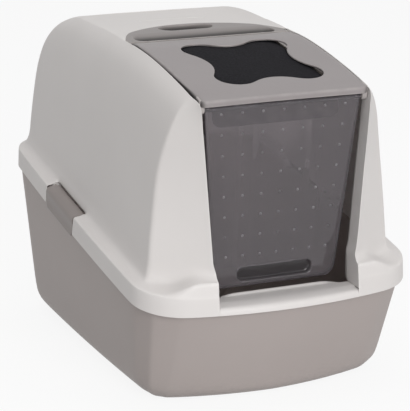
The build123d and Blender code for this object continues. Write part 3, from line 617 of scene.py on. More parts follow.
def buildHood(shape):
    def footZ(y):
        return rimAt(y) + shape["ledge"]

    def sidePoint(y, high):
        x = shape["crestHalf"] + swellAt(high) * (footAt(y) - shape["crestHalf"])
        return (x, y, footZ(y) + high * (crestAt(y) - footZ(y)))

    def lipPoint(high):
        z = footZ(shape["lipY"]) + high * (crestAt(shape["lipTopY"]) - footZ(shape["lipY"]))
        x = shape["doorwayFoot"] + (z - shape["doorwayBase"]) * shape["lipRise"]
        turn = min(1.0, max(0.0, (high - shape["lipTurn"]) / (1 - shape["lipTurn"])))
        y = shape["lipY"] + shape["lipCorner"] * (1 - math.sqrt(1 - turn * turn))
        return (min(x, shape["lipHalf"]), y, z)

    def rearPoint(x, high):
        low = footZ(shape["rearFoot"])
        z = low + high * (shape["rearTop"] - low)
        centreZ = shape["roofTop"] - shape["roofRadius"]
        y = shape["rearLow"] - (z - shape["leanBase"]) * shape["rearLean"]
        if z > centreZ:
            y = min(y, shape["roofRearEdge"] + math.sqrt(shape["roofRadius"] ** 2 - (z - centreZ) ** 2))
        return (x, y, z)

    def wallPoint(column, high):
        kind, t = column
        turnShare = ease((high - shape["creaseTurn"]) / shape["creaseFade"])
        creaseY = blend(shape["crease"], shape["creaseTop"], turnShare)
        cornerR = blend(shape["rearCorner"], shape["rearCornerTop"], high)
        rearY = rearPoint(0, high)[1]
        if kind == "facet":
            lip = lipPoint(high)
            turn = sidePoint(creaseY, high)
            return tuple(blend(a, b, t) for a, b in zip(lip, turn))
        if kind == "side":
            return sidePoint(blend(creaseY, rearY - cornerR, t), high)
        side = sidePoint(rearY - cornerR, high)
        back = rearPoint(side[0] - cornerR, high)
        if kind == "corner":
            a = math.radians(t * 90)
            return (side[0] - cornerR + cornerR * math.cos(a), rearY - cornerR + cornerR * math.sin(a),
                    blend(side[2], back[2], ease(t)))
        return (back[0] * (1 - t), back[1], back[2])

    columns = [("facet", t) for t in (0, 0.06, 0.18, 0.34, 0.5, 0.66, 0.8, 0.91)]
    sideSpan = rearPoint(0, 0)[1] - shape["rearCorner"] - shape["crease"]
    notch = [(y - shape["crease"]) / sideSpan for y in shape["notch"]]
    around = [notch[0] - 0.012, notch[0], notch[0] + 0.02, 0.54, 0.62, notch[1] - 0.02, notch[1],
              notch[1] + 0.012]
    columns += [("side", t) for t in [0, 0.018, 0.04, 0.08, 0.14, 0.22, 0.3, 0.38] + around +
                [0.78, 0.86, 0.93, 0.98]]
    columns += [("corner", t) for t in (0, 0.25, 0.5, 0.75, 1)]
    columns += [("rear", t) for t in (0.15, 0.4, 0.7, 1)]

    def outward(column):
        # the direction in which the skirt leaves the wall, as a plan angle
        kind, t = column
        if kind == "facet":
            return math.radians(blend(-90, shape["facetTurn"], t ** 1.3))
        if kind == "side":
            return math.radians(blend(shape["facetTurn"], 0, ease(t / 0.16)))
        if kind == "corner":
            return math.radians(90 * t)
        return math.radians(90)

    # rows outside the wall: how far in from the rim (or out from the wall foot) and how high
    crisp = shape["crisp"]
    apron = [("rim", 0.0, 0.0), ("rim", 0.1, 1.5), ("rim", 0.5, 12.0), ("rim", 1.0, crisp - 2.2),
             ("rim", 1.7, crisp), ("rim", 4.2, crisp + 1.5), ("mid", 0.5, crisp + 2.6),
             ("foot", 7.0, crisp + 4.0), ("foot", 2.6, crisp + 7.0), ("foot", 0.5, crisp + 12.5)]
    heights = (0.0, 0.04, 0.1, 0.18, 0.27, 0.36, 0.45, 0.54, 0.62, 0.7, 0.76, 0.815, 0.86, 0.9, 0.93, 0.955,
               0.975, 0.99, 1.0)
    half = []
    for column in columns:
        fx, fy = wallPoint(column, 0.0)[:2]
        rx, ry = rimOutline.hit(fx, fy, outward(column))
        width = math.hypot(rx - fx, ry - fy)
        ux, uy = (rx - fx) / width, (ry - fy) / width
        plinth = 1 - ease((fx - shape["plinthEnd"]) / shape["plinthFade"]) if column[0] == "facet" else 0.0
        strip = []
        for number, (base, offset, lift) in enumerate(apron):
            if base == "rim":
                x, y = rx - ux * offset, ry - uy * offset
            elif base == "mid":
                x, y = blend(rx, fx, offset), blend(ry, fy, offset)
            else:
                out = min(offset, width * 0.4)
                x, y = fx + ux * out, fy + uy * out
            if number >= 5:
                lift += plinth * shape["plinth"]
            if column[0] == "side" and notch[0] - 0.02 < column[1] < notch[1] + 0.02:
                if number == 8 and notch[0] <= column[1] <= notch[1]:
                    x, lift = fx + shape["notchOut"], lift - shape["notchLift"]
                y -= (lift - 13) * rimRise
            strip.append((x, y, rimAt(y) + lift))
        last = apron[-1][2] + plinth * shape["plinth"] - shape["ledge"]
        start = last / (crestAt(fy) - footZ(fy))
        for q in heights[1:]:
            strip.append(wallPoint(column, start + q * (1 - start)))
        half.append(strip)
    count = len(half[0])
    rows = [[strip[k] for strip in half] for k in range(count)]
    bm = bmesh.new()

    def bothSides(row):
        # a right-hand row that ends at the middle of the back, carried on round the left side
        return row + [(-p[0], p[1], p[2]) for p in row[-2::-1]]

    made = addGrid(bm, [bothSides(r) for r in rows])
    creaseLine(bm, made[4], 0.9)
    # notches in the skirt for the two latches
    first, last = columns.index(("side", notch[0])), columns.index(("side", notch[1]))
    across = len(made[0]) - 1
    for side in (1, -1):
        ends = [k if side > 0 else across - k for k in (first, last)]
        for k in ends:
            creaseLine(bm, [row[k] for row in made[:9]], 0.8)
        creaseLine(bm, made[8][min(ends):max(ends) + 1], 0.7)
        cut = [bm.faces.get((made[r][k], made[r][k + 1], made[r + 1][k + 1], made[r + 1][k]))
               for r in range(8) for k in range(min(ends), max(ends))]
        bmesh.ops.delete(bm, geom=cut, context="FACES_ONLY")
    plinthColumns = [k for k, c in enumerate(columns) if c[0] == "facet" and half[k][0][0] < 160]
    for verts in (made[5][:len(plinthColumns)], made[5][-len(plinthColumns):]):
        creaseLine(bm, verts, 0.85)
    creaseLine(bm, made[-1], 0.55)
    for end in (0, -1):
        creaseLine(bm, [row[end] for row in made[4:-5]], 0.5)

    # jambs: each end of the wall turns back into the doorway
    jambRows = range(2, count - 1)
    for side in (1, -1):
        jamb = []
        for back in (0.0, 1.2, 12.0, 26.0, shape["jambDepth"]):
            line = []
            for k in jambRows:
                x, y, z = rows[k][0]
                reach = back * blend(1.0, 0.45, ease((z - shape["lintel"]) / shape["lintelFade"]))
                stop = shape["lipY"] + shape["jambDepth"]
                far = y + reach
                if z <= shape["lintel"]:
                    far = stop if back >= 20 else min(far, stop)
                line.append((side * (x + 0.012 * back), far, z))
            jamb.append(line)
        addGrid(bm, jamb)

    # lid bay: the crest drops to a shelf that carries the lid's side rims
    bay = [k for k, c in enumerate(columns)
           if c[0] in ("facet", "side") and rows[-1][k][1] <= shape["handleSide"] + 1]
    bayRow = [rows[-1][k] for k in bay]
    for side in (1, -1):
        strip = []
        for inset, drop in ((0.0, 0.0), (0.5, 0.6), (0.6, 4.0), (0.7, 10.6), (1.2, 11.6), (10.0, 11.8),
                            (10.6, 14.0)):
            line = []
            for x, y, z in bayRow:
                taper = ease((y - shape["shelfTaper"]) / shape["shelfFade"])
                narrow = inset if inset < 2 else blend(inset, 1.4, taper)
                line.append((side * (x - narrow), y, z - drop))
            strip.append(line)
        addGrid(bm, strip)

    # roof behind the handle: a patch between the two crests, the rear edge and the handle's arch
    top = rows[-1]
    corner = [k for k, c in enumerate(columns) if c[0] == "corner"]
    turnAt = corner[len(corner) // 2]
    sideLine = top[bay[-1]:turnAt + 1]
    rearLine = bothSides(top[turnAt:])
    chord, rise = shape["handleHalf"] + 0.5, shape["handleRear"] - shape["handleSide"]
    archR = (chord ** 2 + rise ** 2) / (2 * rise)
    archY = shape["handleRear"] - archR
    across = len(rearLine)
    frontLine = []
    for k in range(across):
        share = k / (across - 1)
        angle = math.asin(chord / archR) * (1 - 2 * share)
        frontLine.append((archR * math.sin(angle), archY + archR * math.cos(angle)))
    frontLine[0] = (sideLine[0][0], sideLine[0][1])
    frontLine[-1] = (-sideLine[0][0], sideLine[0][1])
    along = len(sideLine)

    def roofZ(x, y):
        coveShare = max(0.0, (abs(x) - shape["coveStart"]) / (shape["crestHalf"] - shape["coveStart"]))
        lift = crestAt(y) - roofAt(y)
        fade = 1 - ease((y - shape["coveEnd"]) / shape["coveFade"])
        return roofAt(y) + lift * fade * coveShare ** 2.2

    patch = []
    for j in range(along):
        v = j / (along - 1)
        left, right = sideLine[j], (-sideLine[j][0], sideLine[j][1])
        line = []
        for k in range(across):
            u = k / (across - 1)
            front, rear = frontLine[k], rearLine[k]
            spot = []
            for axis in (0, 1):
                edge = blend(left[axis], right[axis], u) + blend(front[axis], rear[axis], v)
                tie = blend(blend(frontLine[0][axis], frontLine[-1][axis], u),
                            blend(rearLine[0][axis], rearLine[-1][axis], u), v)
                spot.append(edge - tie)
            x, y = spot
            z = roofZ(x, y)
            if k in (0, across - 1):
                z = sideLine[j][2]
            elif j == along - 1:
                z = rear[2]
            line.append((x, y, z))
        patch.append(line)
    addGrid(bm, patch)
    lip = []
    for ahead, drop in ((0.0, 0.0), (0.4, 0.4), (0.5, 1.6)):
        line = []
        for x, y, z in patch[0]:
            dx, dy = x, y - archY
            length = math.hypot(dx, dy)
            line.append((x - dx / length * ahead, y - dy / length * ahead, z - drop))
        lip.append(line)
    addGrid(bm, lip)

    # sill: the front of the skirt rolls over into the floor of the doorway
    outer = [20, 40, 56, 70, 78, 83, 88, 93, 98, 102, 105.5]
    sill = []
    bowR = rimOutline.front[2]
    for x in [-x for x in outer[::-1]] + [0] + outer:
        frontY = rimOutline.front[1] - math.sqrt(bowR ** 2 - x * x)
        relief = ease((abs(x) - sillShape["reliefStart"]) / sillShape["reliefFade"])
        rear = blend(sillShape["rear"], sillShape["endRear"], relief)
        top = sillShape["top"]
        fade = ease((abs(x) - sillShape["ridgeHalf"]) / sillShape["ridgeFade"])
        crown = top + sillShape["ridge"] * (1 - fade)
        line = [(x, frontY + back, rimAt(frontY) + lift)
                for back, lift in ((0.0, 0.0), (0.1, 1.5), (0.7, 6.0), (3.5, 9.6))]
        line += [(x, frontY + 9.0, top - 2.0), (x, frontY + 16.0, top - 0.5)]
        line += [(x, y, top) for y in (-263.5, -257.0, -250.0, min(-244.5, rear - 1.5))]
        line += [(x, min(-242.5, rear - 1.0), crown), (x, min(-238.0, rear - 0.5), crown),
                 (x, rear, top - 0.6), (x, rear + 0.8, top - 6.2)]
        sill.append(line)
    sillRows = [[line[k] for line in sill] for k in range(len(sill[0]))]
    addGrid(bm, sillRows)

    hood = makePiece(bm, "hoodShell", "hood", ["hood"], hoodPlastic, weld=0.05)
    subdivide(hood, 2)
    thicken(hood, shape["wall"])

    bm = bmesh.new()
    # lugs that carry the latch pins, as across and lift
    lug = [(182.5, 13), (204, 13), (204, 17), (199.5, 21.5), (195, 22.5), (195, 24.5), (193.6, 27.4),
           (190.5, 28.5), (187.4, 27.4), (182.5, 26)]
    slope = math.radians(rim["slope"])
    for side in (-1, 1):
        for y in (shape["notch"][0] + 0.1, shape["notch"][1] + shape["notchStep"]):
            outline = [besideRim(side * x, y, lift) for x, lift in lug]
            addPlate(bm, outline, (0, -math.cos(slope), -math.sin(slope)), shape["lugThickness"])
        inner, outer = [(side * x,) + lidAxis for x in shape["lidRodEnds"]]
        addRod(bm, inner, outer, shape["lidRodRadius"])
    fittings = makePiece(bm, "hoodFittings", "hood", [], hoodPlastic, weld=0)
    soften(fittings, 0.4)


buildHood(hoodShape)
print("hood made")


# how far the two long sides of the lid arch up, from its rear edge forwards
sideRise = smoothTable([(-5, 0.0), (0, 0.0), (15, 2.6), (45, 5.2), (90, 6.3), (130, 6.1), (160, 5.0),
                        (187, 3.4), (214, 1.3), (232, -0.2), (244, -0.8), (250, -0.8)])
lidShape = dict(half=121.7, length=244.0, rear=-22.0, rearHeight=458.2, slope=8.85, rimWall=2.5,
                frontCorner=9.0, rearCorner=3.0, crown=2.5, raised=1.6, windowHalf=78.0, windowLong=84.8,
                lobe=29.0, waistHalf=61.0, waistLong=66.5, windowMiddle=(7.0, 117.5), headerHalf=92.0,
                headerFoot=378.0, headerRear=-229.0, headerCorner=12.0, headerPlace=212.0, lugPlace=40.0,
                lugReach=7.1, lugRadius=6.0, earRadius=3.2, earThickness=3.0, bossLength=12.0, bossRadius=5.0,
                crownRear=45.0, crownFront=34.0, raisedFade=60.0)


def lidSpot(u, v, n):
    # across, forwards from the lid's rear edge, and above its top face
    lean = math.radians(lidShape["slope"])
    n += lidCrown(u, v)
    return (u, lidShape["rear"] - v * math.cos(lean) - n * math.sin(lean),
            lidShape["rearHeight"] - v * math.sin(lean) + n * math.cos(lean))


def lidCrown(u, v):
    # how far the face stands above a flat one: higher along the middle and the two long sides
    across = max(0.0, 1 - (u / lidShape["half"]) ** 2)
    ahead = ease((lidShape["length"] - v) / lidShape["crownFront"])
    crown = lidShape["crown"] * across * ease(v / lidShape["crownRear"]) * ahead
    raised = lidShape["raised"] * ease(v / lidShape["raisedFade"])
    return crown + raised + sideRise(v) * min(1.0, u * u / lidShape["half"] ** 2)


def windowOutline(shape):
    # four lobes joined by hollow arcs that leave them without a corner
    steps = 14
    cx, cy, r = shape["windowHalf"] - shape["lobe"], shape["windowLong"] - shape["lobe"], shape["lobe"]
    reachX, reachY = shape["waistHalf"] - cx, shape["waistLong"] - cy
    sideR = (reachX ** 2 + cy ** 2 - r ** 2) / (2 * (r - reachX))
    endR = (reachY ** 2 + cx ** 2 - r ** 2) / (2 * (r - reachY))
    sideX, endY = shape["waistHalf"] + sideR, shape["waistLong"] + endR
    sideTurn = math.atan2(cy, sideX - cx)
    endTurn = math.atan2(cx, endY - cy)
    quarter = []
    for k in range(steps):
        a = sideTurn * k / steps
        quarter.append((sideX - sideR * math.cos(a), sideR * math.sin(a)))
    for k in range(2 * steps):
        a = blend(-sideTurn, math.pi / 2 + endTurn, k / (2 * steps))
        quarter.append((cx + r * math.cos(a), cy + r * math.sin(a)))
    for k in range(steps + 1):
        a = endTurn * (1 - k / steps)
        quarter.append((endR * math.sin(a), endY - endR * math.cos(a)))
    right = [(x, -y) for x, y in quarter[:0:-1]] + quarter
    return right + [(-x, y) for x, y in right[-2:0:-1]]


def rayHit(outline, angle):
    # the farthest crossing of a ray from the origin with a closed outline
    ux, uy = math.cos(angle), math.sin(angle)
    best = 0.0
    for p, q in zip(outline, outline[1:] + outline[:1]):
        a, b = p[0] * uy - p[1] * ux, q[0] * uy - q[1] * ux
        if a * b <= 0 and a != b:
            t = a / (a - b)
            best = max(best, blend(p[0], q[0], t) * ux + blend(p[1], q[1], t) * uy)
    return best


def lidEdge(shape):
    # points round the lid with the direction that leads inwards
    spacing = 9.0
    half, length = shape["half"], shape["length"]
    points = []

    def run(start, end, inward):
        count = max(2, round(math.hypot(end[0] - start[0], end[1] - start[1]) / spacing))
        for k in range(count):
            points.append((blend(start[0], end[0], k / count), blend(start[1], end[1], k / count), inward))

    def corner(x, y, radius, start):
        for k in range(5):
            a = math.radians(start + 18 * k)
            points.append((x + radius * math.cos(a), y + radius * math.sin(a), (-math.cos(a), -math.sin(a))))

    f, r = shape["frontCorner"], shape["rearCorner"]
    run((half, r), (half, length - f), (-1, 0))
    corner(half - f, length - f, f, 0)
    run((half - f, length), (f - half, length), (0, -1))
    corner(f - half, length - f, f, 90)
    run((-half, length - f), (-half, r), (1, 0))
    corner(r - half, r, r, 180)
    run((r - half, 0), (half - r, 0), (0, 1))
    corner(half - r, r, r, 270)
    return points


def buildLid(shape):
    middle = shape["windowMiddle"]
    window = windowOutline(shape)
    edge = lidEdge(shape)
    rays = []
    for x, y, inward in edge:
        angle = math.atan2(y - middle[1], x - middle[0])
        rays.append((angle, rayHit(window, angle)))
    # round the window's edge, over the face, down and under the rim, and back beneath
    rows = [("win", 0.0, -3.0), ("win", 0.0, -1.0), ("win", 0.35, -0.3), ("win", 1.3, 0.0), ("win", 4.5, 0.0)]
    rows += [("mid", share, 0.0) for share in (0.2, 0.4, 0.6, 0.8)]
    rows += [("out", inset, n) for inset, n in (
        (5.5, 0.0), (2.6, -0.2), (1.0, -0.9), (0.2, -2.4), (0.0, -4.5), (0.0, -8.6), (0.3, -9.0), (2.2, -9.0),
        (2.5, -8.6), (2.5, -4.4), (2.9, -3.1))]
    rows += [("mid", 0.8, -3.0), ("mid", 0.4, -3.0), ("win", 1.3, -3.0), ("win", 0.0, -3.0)]
    grid = []
    for kind, share, n in rows:
        line = []
        for (x, y, inward), (angle, reach) in zip(edge, rays):
            r = reach + (4.5 if kind == "mid" else share)
            wx, wy = middle[0] + r * math.cos(angle), middle[1] + r * math.sin(angle)
            inset = 5.5 if kind == "mid" else share
            ox, oy = x + inward[0] * inset, y + inward[1] * inset
            if kind == "win":
                u, v = wx, wy
            elif kind == "out":
                u, v = ox, oy
            else:
                u, v = blend(wx, ox, share), blend(wy, oy, share)
            line.append(lidSpot(u, v, n))
        grid.append(line)
    bm = bmesh.new()
    addGrid(bm, grid, closed=True)
    lid = makePiece(bm, "lidPanel", "lid", ["front_lid"], lidPanelPlastic)
    subdivide(lid, 1)

    bm = bmesh.new()
    half, foot, r = shape["headerHalf"], shape["headerFoot"], shape["headerCorner"]
    outline = []
    for side, start in ((-1, 180), (1, 270)):
        outline += arcPoints(side * (half - r), foot + r, r, range(start, start + 91, 15))
    head = lidSpot(0, shape["headerPlace"], -1.6)[2]
    outline += [(half, head - 1.9), (half * 0.5, head - 0.5), (0, head), (-half * 0.5, head - 0.5),
                (-half, head - 1.9)]
    addPlate(bm, [(x, shape["headerRear"], z) for x, z in outline], (0, -1, 0), shape["rimWall"])
    # the header's dark brown colour is painted shade
    header = makePiece(bm, "lidHeader", "lid", [], headerShadePlastic, weld=0)
    soften(header, 0.5)

    bm = bmesh.new()
    # lugs for the door's pins, bosses on the lid's own axis, and ears for the tray's pin
    under = range(180, 361, 20)
    boss = shape["half"] - 1
    for side in (-1, 1):
        (y, z), r = doorAxis, shape["lugRadius"]
        lug = arcPoints(y, z, r, under)
        lug += [(y + r, lidSpot(0, 223, -1.5)[2] - 0.4), (y - r, lidSpot(0, 235, -1.5)[2] - 0.4)]
        addPlate(bm, [(side * (shape["half"] - 0.3), a, b) for a, b in lug], (-side, 0, 0), shape["lugReach"])
        addRod(bm, (side * (boss - shape["bossLength"]),) + lidAxis, (side * boss,) + lidAxis,
               shape["bossRadius"])
        (y, z), r = trayAxis, shape["earRadius"]
        ear = arcPoints(y, z, r, under) + [(y + r, z + 6.4), (y - r, z + 6.2)]
        addPlate(bm, [(side * shape["lugPlace"], a, b) for a, b in ear], (side, 0, 0), shape["earThickness"])
    fittings = makePiece(bm, "lidFittings", "lid", [], lidPlastic, weld=0)
    soften(fittings, 0.5)


buildLid(lidShape)
print("lid made")

padShape = dict(half=86.6, long=93.6, radius=12.0, thickness=6.0, top=-3.4, middle=110.0, crown=2.0, lump=0.5,
                follow=0.75)


def buildFilterPad(shape):
    # a foam sheet: soft cut edges, a little thicker in the middle than at its rim
    half, long, r = shape["half"], shape["long"], shape["radius"]
    outline = []
    for sx, sy, start in ((1, 1, 0), (-1, 1, 90), (-1, -1, 180), (1, -1, 270)):
        outline += arcPoints(sx * (half - r), sy * (long - r), r, range(start, start + 91, 15))
        if start in (0, 180):
            outline += [(sx * blend(half - r, r - half, k / 9), sy * long) for k in range(1, 9)]
        else:
            outline += [(sx * half, sy * blend(long - r, r - long, k / 9)) for k in range(1, 9)]
    draw = random.Random(7)
    waves = [(draw.uniform(0.02, 0.07), draw.uniform(0.02, 0.07), draw.uniform(0, 6.28)) for k in range(6)]

    def lump(x, y):
        return sum(math.sin(a * x + b * y + c) for a, b, c in waves) / 6

    # share of the way out to the edge, and -1 for the underside up to 1 for the top
    rows = [(share, -1) for share in (0.03, 0.3, 0.6, 0.85, 0.965)]
    rows += [(0.992, -0.8), (1.0, -0.35), (1.0, 0.2), (0.993, 0.7), (0.97, 0.95)]
    rows += [(share, 1) for share in (0.93, 0.82, 0.66, 0.5, 0.32, 0.15, 0.03)]
    grid = []
    for share, side in rows:
        line = []
        for x, y in outline:
            px, py = x * share, y * share
            n = shape["top"] - shape["thickness"] * (1 - side) / 2
            if side > 0.9:
                dome = (1 - (px / half) ** 2) * (1 - (py / long) ** 2)
                n += shape["crown"] * dome ** 0.6 + shape["lump"] * lump(px, py) * min(1.0, 5 * dome)
            u, v = px, shape["middle"] + py
            if side > 0.9:
                n += shape["follow"] * lidCrown(u, v) * min(1.0, 5 * dome)
            line.append(lidSpot(u, v, n - lidCrown(u, v)))
        grid.append(line)
    bm = bmesh.new()
    addSolid(bm, grid)
    pad = makePiece(bm, "filterPad", "tray", ["filter_pad"], carbonFoam)
    subdivide(pad, 1)


buildFilterPad(padShape)
print("filter made")

handleShape = dict(front=-18.3, side=20.5, rear=85.5, half=122.4, slotHalf=107.0, slotFront=-14.5,
                   slotRear=12.0, slotRound=13.0, slotStraight=96.0, dishHalf=42.0, dishCentre=-5.0,
                   dishMiddle=60.5, dishLong=22.5, dishDepth=13.5, dishReach=62.0, level=458.48, tilt=0.024,
                   skirt=3.0, wall=2.4)


def buildHandle(shape):
    rise = shape["rear"] - shape["side"]
    archR = (shape["half"] ** 2 + rise ** 2) / (2 * rise)
    slotMiddle = (shape["slotFront"] + shape["slotRear"]) / 2
    slotReach = (shape["slotRear"] - shape["slotFront"]) / 2

    def archY(x):
        return shape["rear"] - archR + math.sqrt(archR ** 2 - x * x)

    # front lip, finger slot, and the rounded front of the grip: place across the slot, then depth
    slotRows = [(-1.06, 0.0), (-1.0, 0.8), (-0.985, 4.0), (-0.96, 16.0), (-0.9, 25.0), (-0.7, 28.0),
                (0.0, 28.0), (0.6, 28.0), (0.85, 26.0), (0.95, 18.0), (1.0, 13.0), (1.11, 8.5), (1.42, 4.65),
                (1.9, 1.75), (2.49, 0.22), (2.81, 0.0)]
    # the thumb dish: place along it, then share of its depth
    dishRows = [(-1.1, 0.0), (-1.02, 0.12), (-0.96, 0.45), (-0.82, 0.8), (-0.5, 0.97), (-0.05, 1.0),
                (0.4, 0.92), (0.72, 0.72), (0.9, 0.42), (0.99, 0.12), (1.1, 0.0)]

    def column(x):
        size = abs(x)
        end = max(0.0, (size - (shape["slotHalf"] - shape["slotRound"])) / shape["slotRound"])
        open1 = math.sqrt(max(0.0, 1 - end * end))
        reach = max(0.35, slotReach * open1)
        back = archY(x)
        line = [(shape["front"], 3.0), (shape["front"], 0.7), (shape["front"] + 0.6, 0.0)]
        for place, drop in slotRows:
            deep = drop * open1 ** 0.7
            y = slotMiddle + place * reach
            if place < -0.99 and size > shape["slotStraight"]:
                deep = drop * open1
            line.append((min(y, back - 6), deep))
        start = line[-1][0]
        line.append((blend(start, back - 3, 0.12), 0.0))
        share = max(0.0, 1 - ((x - shape["dishCentre"]) / shape["dishHalf"]) ** 2)
        if share > 0:
            middle = shape["dishMiddle"]
            dish = max(0.5, shape["dishLong"] * math.sqrt(share))
        else:
            tip = shape["dishCentre"] + math.copysign(shape["dishHalf"], x - shape["dishCentre"])
            low, high = slotMiddle + slotRows[-1][0] * slotReach, archY(tip) - 3
            ratio = (shape["dishMiddle"] - low) / (high - low)
            middle, dish = blend(start, back - 3, ratio), 0.5
        dish = min(dish, (back - 2.6 - middle) / 1.1, (middle - line[-1][0] - 0.6) / 1.1)
        dish = max(dish, 0.12)
        for place, part in dishRows:
            line.append((middle + place * dish, shape["dishDepth"] * part * share ** 0.55))
        line += [(back - 1.6, 0.0), (back - 0.7, 0.15), (back - 0.05, 0.7), (back, 2.0), (back, 3.0)]
        ordered = []
        for y, drop in line:
            y = min(y, back)
            if ordered and y < ordered[-1][1]:
                y = ordered[-1][1]
            ordered.append((x, y, shape["level"] + y * shape["tilt"] - drop))
        return ordered

    ends = [shape["half"], 120.6, 115.0, 110.5, 107.8, 106.9, 106.2, 105.0, 103.0, 100.0, 96.5, 92.0, 86.0,
            79.0, 72.0, 65.0]
    dishSteps = (-1.16, -1.06, -1.008, -0.99, -0.965, -0.92, -0.85, -0.75, -0.62, -0.47, -0.31, -0.15)
    dishSteps += (0.0,) + tuple(-t for t in dishSteps[::-1])
    dished = [shape["dishCentre"] + shape["dishHalf"] * t for t in dishSteps]
    xs = [-x for x in ends] + [x for x in dished if abs(x) < shape["dishReach"]] + ends[::-1]
    bm = bmesh.new()
    made = addGrid(bm, [column(x) for x in xs])
    for line in (made[0], made[-1]):
        low = [bm.verts.new(v.co + Vector((0, 0, -shape["skirt"] * mm))) for v in line[2:-2]]
        for k in range(len(low) - 1):
            bm.faces.new((line[k + 2], line[k + 3], low[k + 1], low[k]))
    handle = makePiece(bm, "carryHandle", "hood", ["carry_handle"], handleShadePlastic, weld=0.004)
    if handle.data.polygons[len(handle.data.polygons) // 2].normal.z < 0:
        handle.data.flip_normals()
    subdivide(handle, 1)
    thicken(handle, shape["wall"])


buildHandle(handleShape)
print("handle made")

doorShape = dict(lean=5.8, face=4.0, thickness=2.4, head=-2.2, drop=254.0, topHalf=113.5, footHalf=90.5,
                 corner=16.0, gripHalf=56.0, gripRound=10.5, gripMiddle=236.0, gripDepth=6.6, barrel=4.0,
                 tip=2.0, tipReach=4.0, gridHalf=71.0, flange=(1.4, 4.0, 6.5, 7.4),
                 bumpRadius=1.9, bumpRows=8, bumpColumns=7, bumpFirst=8.0, bumpRowPitch=28.6,
                 bumpTopPitch=30.0, bumpFootPitch=24.6, bow=0.8,
                 bumpProfile=((1.0, -0.4), (1.0, 0.0), (0.86, 0.34), (0.6, 0.62), (0.3, 0.76)))


def doorSpot(u, w, n):
    # across, down from the hinge axis, and out of the box
    lean = math.radians(doorShape["lean"])
    return (u, doorAxis[0] + w * math.sin(lean) - n * math.cos(lean),
            doorAxis[1] - w * math.cos(lean) - n * math.sin(lean))


def buildDoor(shape):
    def halfAt(w):
        plain = blend(shape["topHalf"], shape["footHalf"], (w + 3) / (shape["drop"] + 3))
        low = w - (shape["drop"] - shape["corner"])
        if low > 0:
            plain -= shape["corner"] - math.sqrt(max(0.0, shape["corner"] ** 2 - low ** 2))
        return plain

    def gripDepth(u, w):
        across = max(0.0, abs(u) - (shape["gripHalf"] - shape["gripRound"]))
        outside = math.hypot(across, w - shape["gripMiddle"]) - shape["gripRound"]
        return shape["gripDepth"] * (1 - ease((outside + 1.9) / 1.9))

    ws = [shape["head"], 1.5, 6, 14, 30, 50, 75, 100, 125, 150, 172, 192, 206, 214, 219, 222.5]
    ws += [ws[-1] + 1.0 * k for k in range(1, 27)] + [250.2, 251.6, 252.7, 253.4]
    us = [0, 8, 16, 24, 32, 38] + [42 + 1.0 * k for k in range(17)] + [61, 65, 69]
    grid = []
    for w in ws:
        line = []
        half = halfAt(min(w, shape["drop"] - 0.35))
        squeeze = min(1.0, (half - shape["tipReach"]) / shape["gridHalf"])
        outer = [blend(us[-1] * squeeze, half, t) for t in (0.2, 0.42, 0.64, 0.82, 0.9, 0.95, 0.985, 1.0)]
        right = [u * squeeze for u in us] + outer
        for u in [-x for x in right[:0:-1]] + right:
            swell = shape["bow"] * max(0.0, 1 - (u / half) ** 2)
            edge = min(half - abs(u), shape["drop"] - w)
            tip = shape["tip"] * (1 - min(1.0, edge / shape["tipReach"])) ** 2
            line.append(doorSpot(u, w, shape["face"] + swell - tip - gripDepth(u, w)))
        grid.append(line)
    bm = bmesh.new()
    made = addGrid(bm, grid)
    # the flange runs down one side, along the foot and up the other
    border = [(r, 0) for r in range(1, len(ws))] + [(-1, c) for c in range(1, len(grid[0]))]
    border += [(r, -1) for r in range(len(ws) - 2, 0, -1)]
    previous = [made[r][c] for r, c in border]
    lean = math.radians(shape["lean"])
    inward = Vector((0, math.cos(lean), math.sin(lean)))
    first = previous
    for depth in shape["flange"]:
        ring = [bm.verts.new(start.co + inward * depth * mm) for start in first]
        for k in range(len(ring) - 1):
            bm.faces.new((previous[k], previous[k + 1], ring[k + 1], ring[k]))
        previous = ring
    door = makePiece(bm, "doorPanel", "door", ["door"], smokedPlastic)
    thicken(door, shape["thickness"])

    bm = bmesh.new()
    addRod(bm, (-shape["topHalf"],) + doorAxis, (shape["topHalf"],) + doorAxis, shape["barrel"], sides=28)
    makePiece(bm, "doorBarrel", "door", [], smokedPlastic, weld=0)

    bm = bmesh.new()
    for row in range(shape["bumpRows"]):
        pitch = blend(shape["bumpTopPitch"], shape["bumpFootPitch"], row / (shape["bumpRows"] - 1))
        w = shape["bumpFirst"] + row * shape["bumpRowPitch"]
        for column in range(shape["bumpColumns"]):
            u = (column - (shape["bumpColumns"] - 1) / 2) * pitch
            swell = shape["bow"] * max(0.0, 1 - (u / halfAt(w)) ** 2)
            rings = []
            for r, n in shape["bumpProfile"]:
                reach = shape["bumpRadius"] * r
                rings.append([doorSpot(u + reach * math.cos(a), w + reach * math.sin(a),
                                       shape["face"] + swell + n) for a in fullTurn(14)])
            addSolid(bm, rings)
    makePiece(bm, "doorBumps", "door", [], bumpShadePlastic, weld=0)


buildDoor(doorShape)
print("door made")

latchShape = dict(front=-0.6, rear=110.6, axis=(190.5, 24.0),
                  knuckle=((6.0, 3.0), (0.2, 4.5), (-0.1, 4.3), (-0.35, 3.4), (-0.35, 2.2), (0.6, 2.0)))


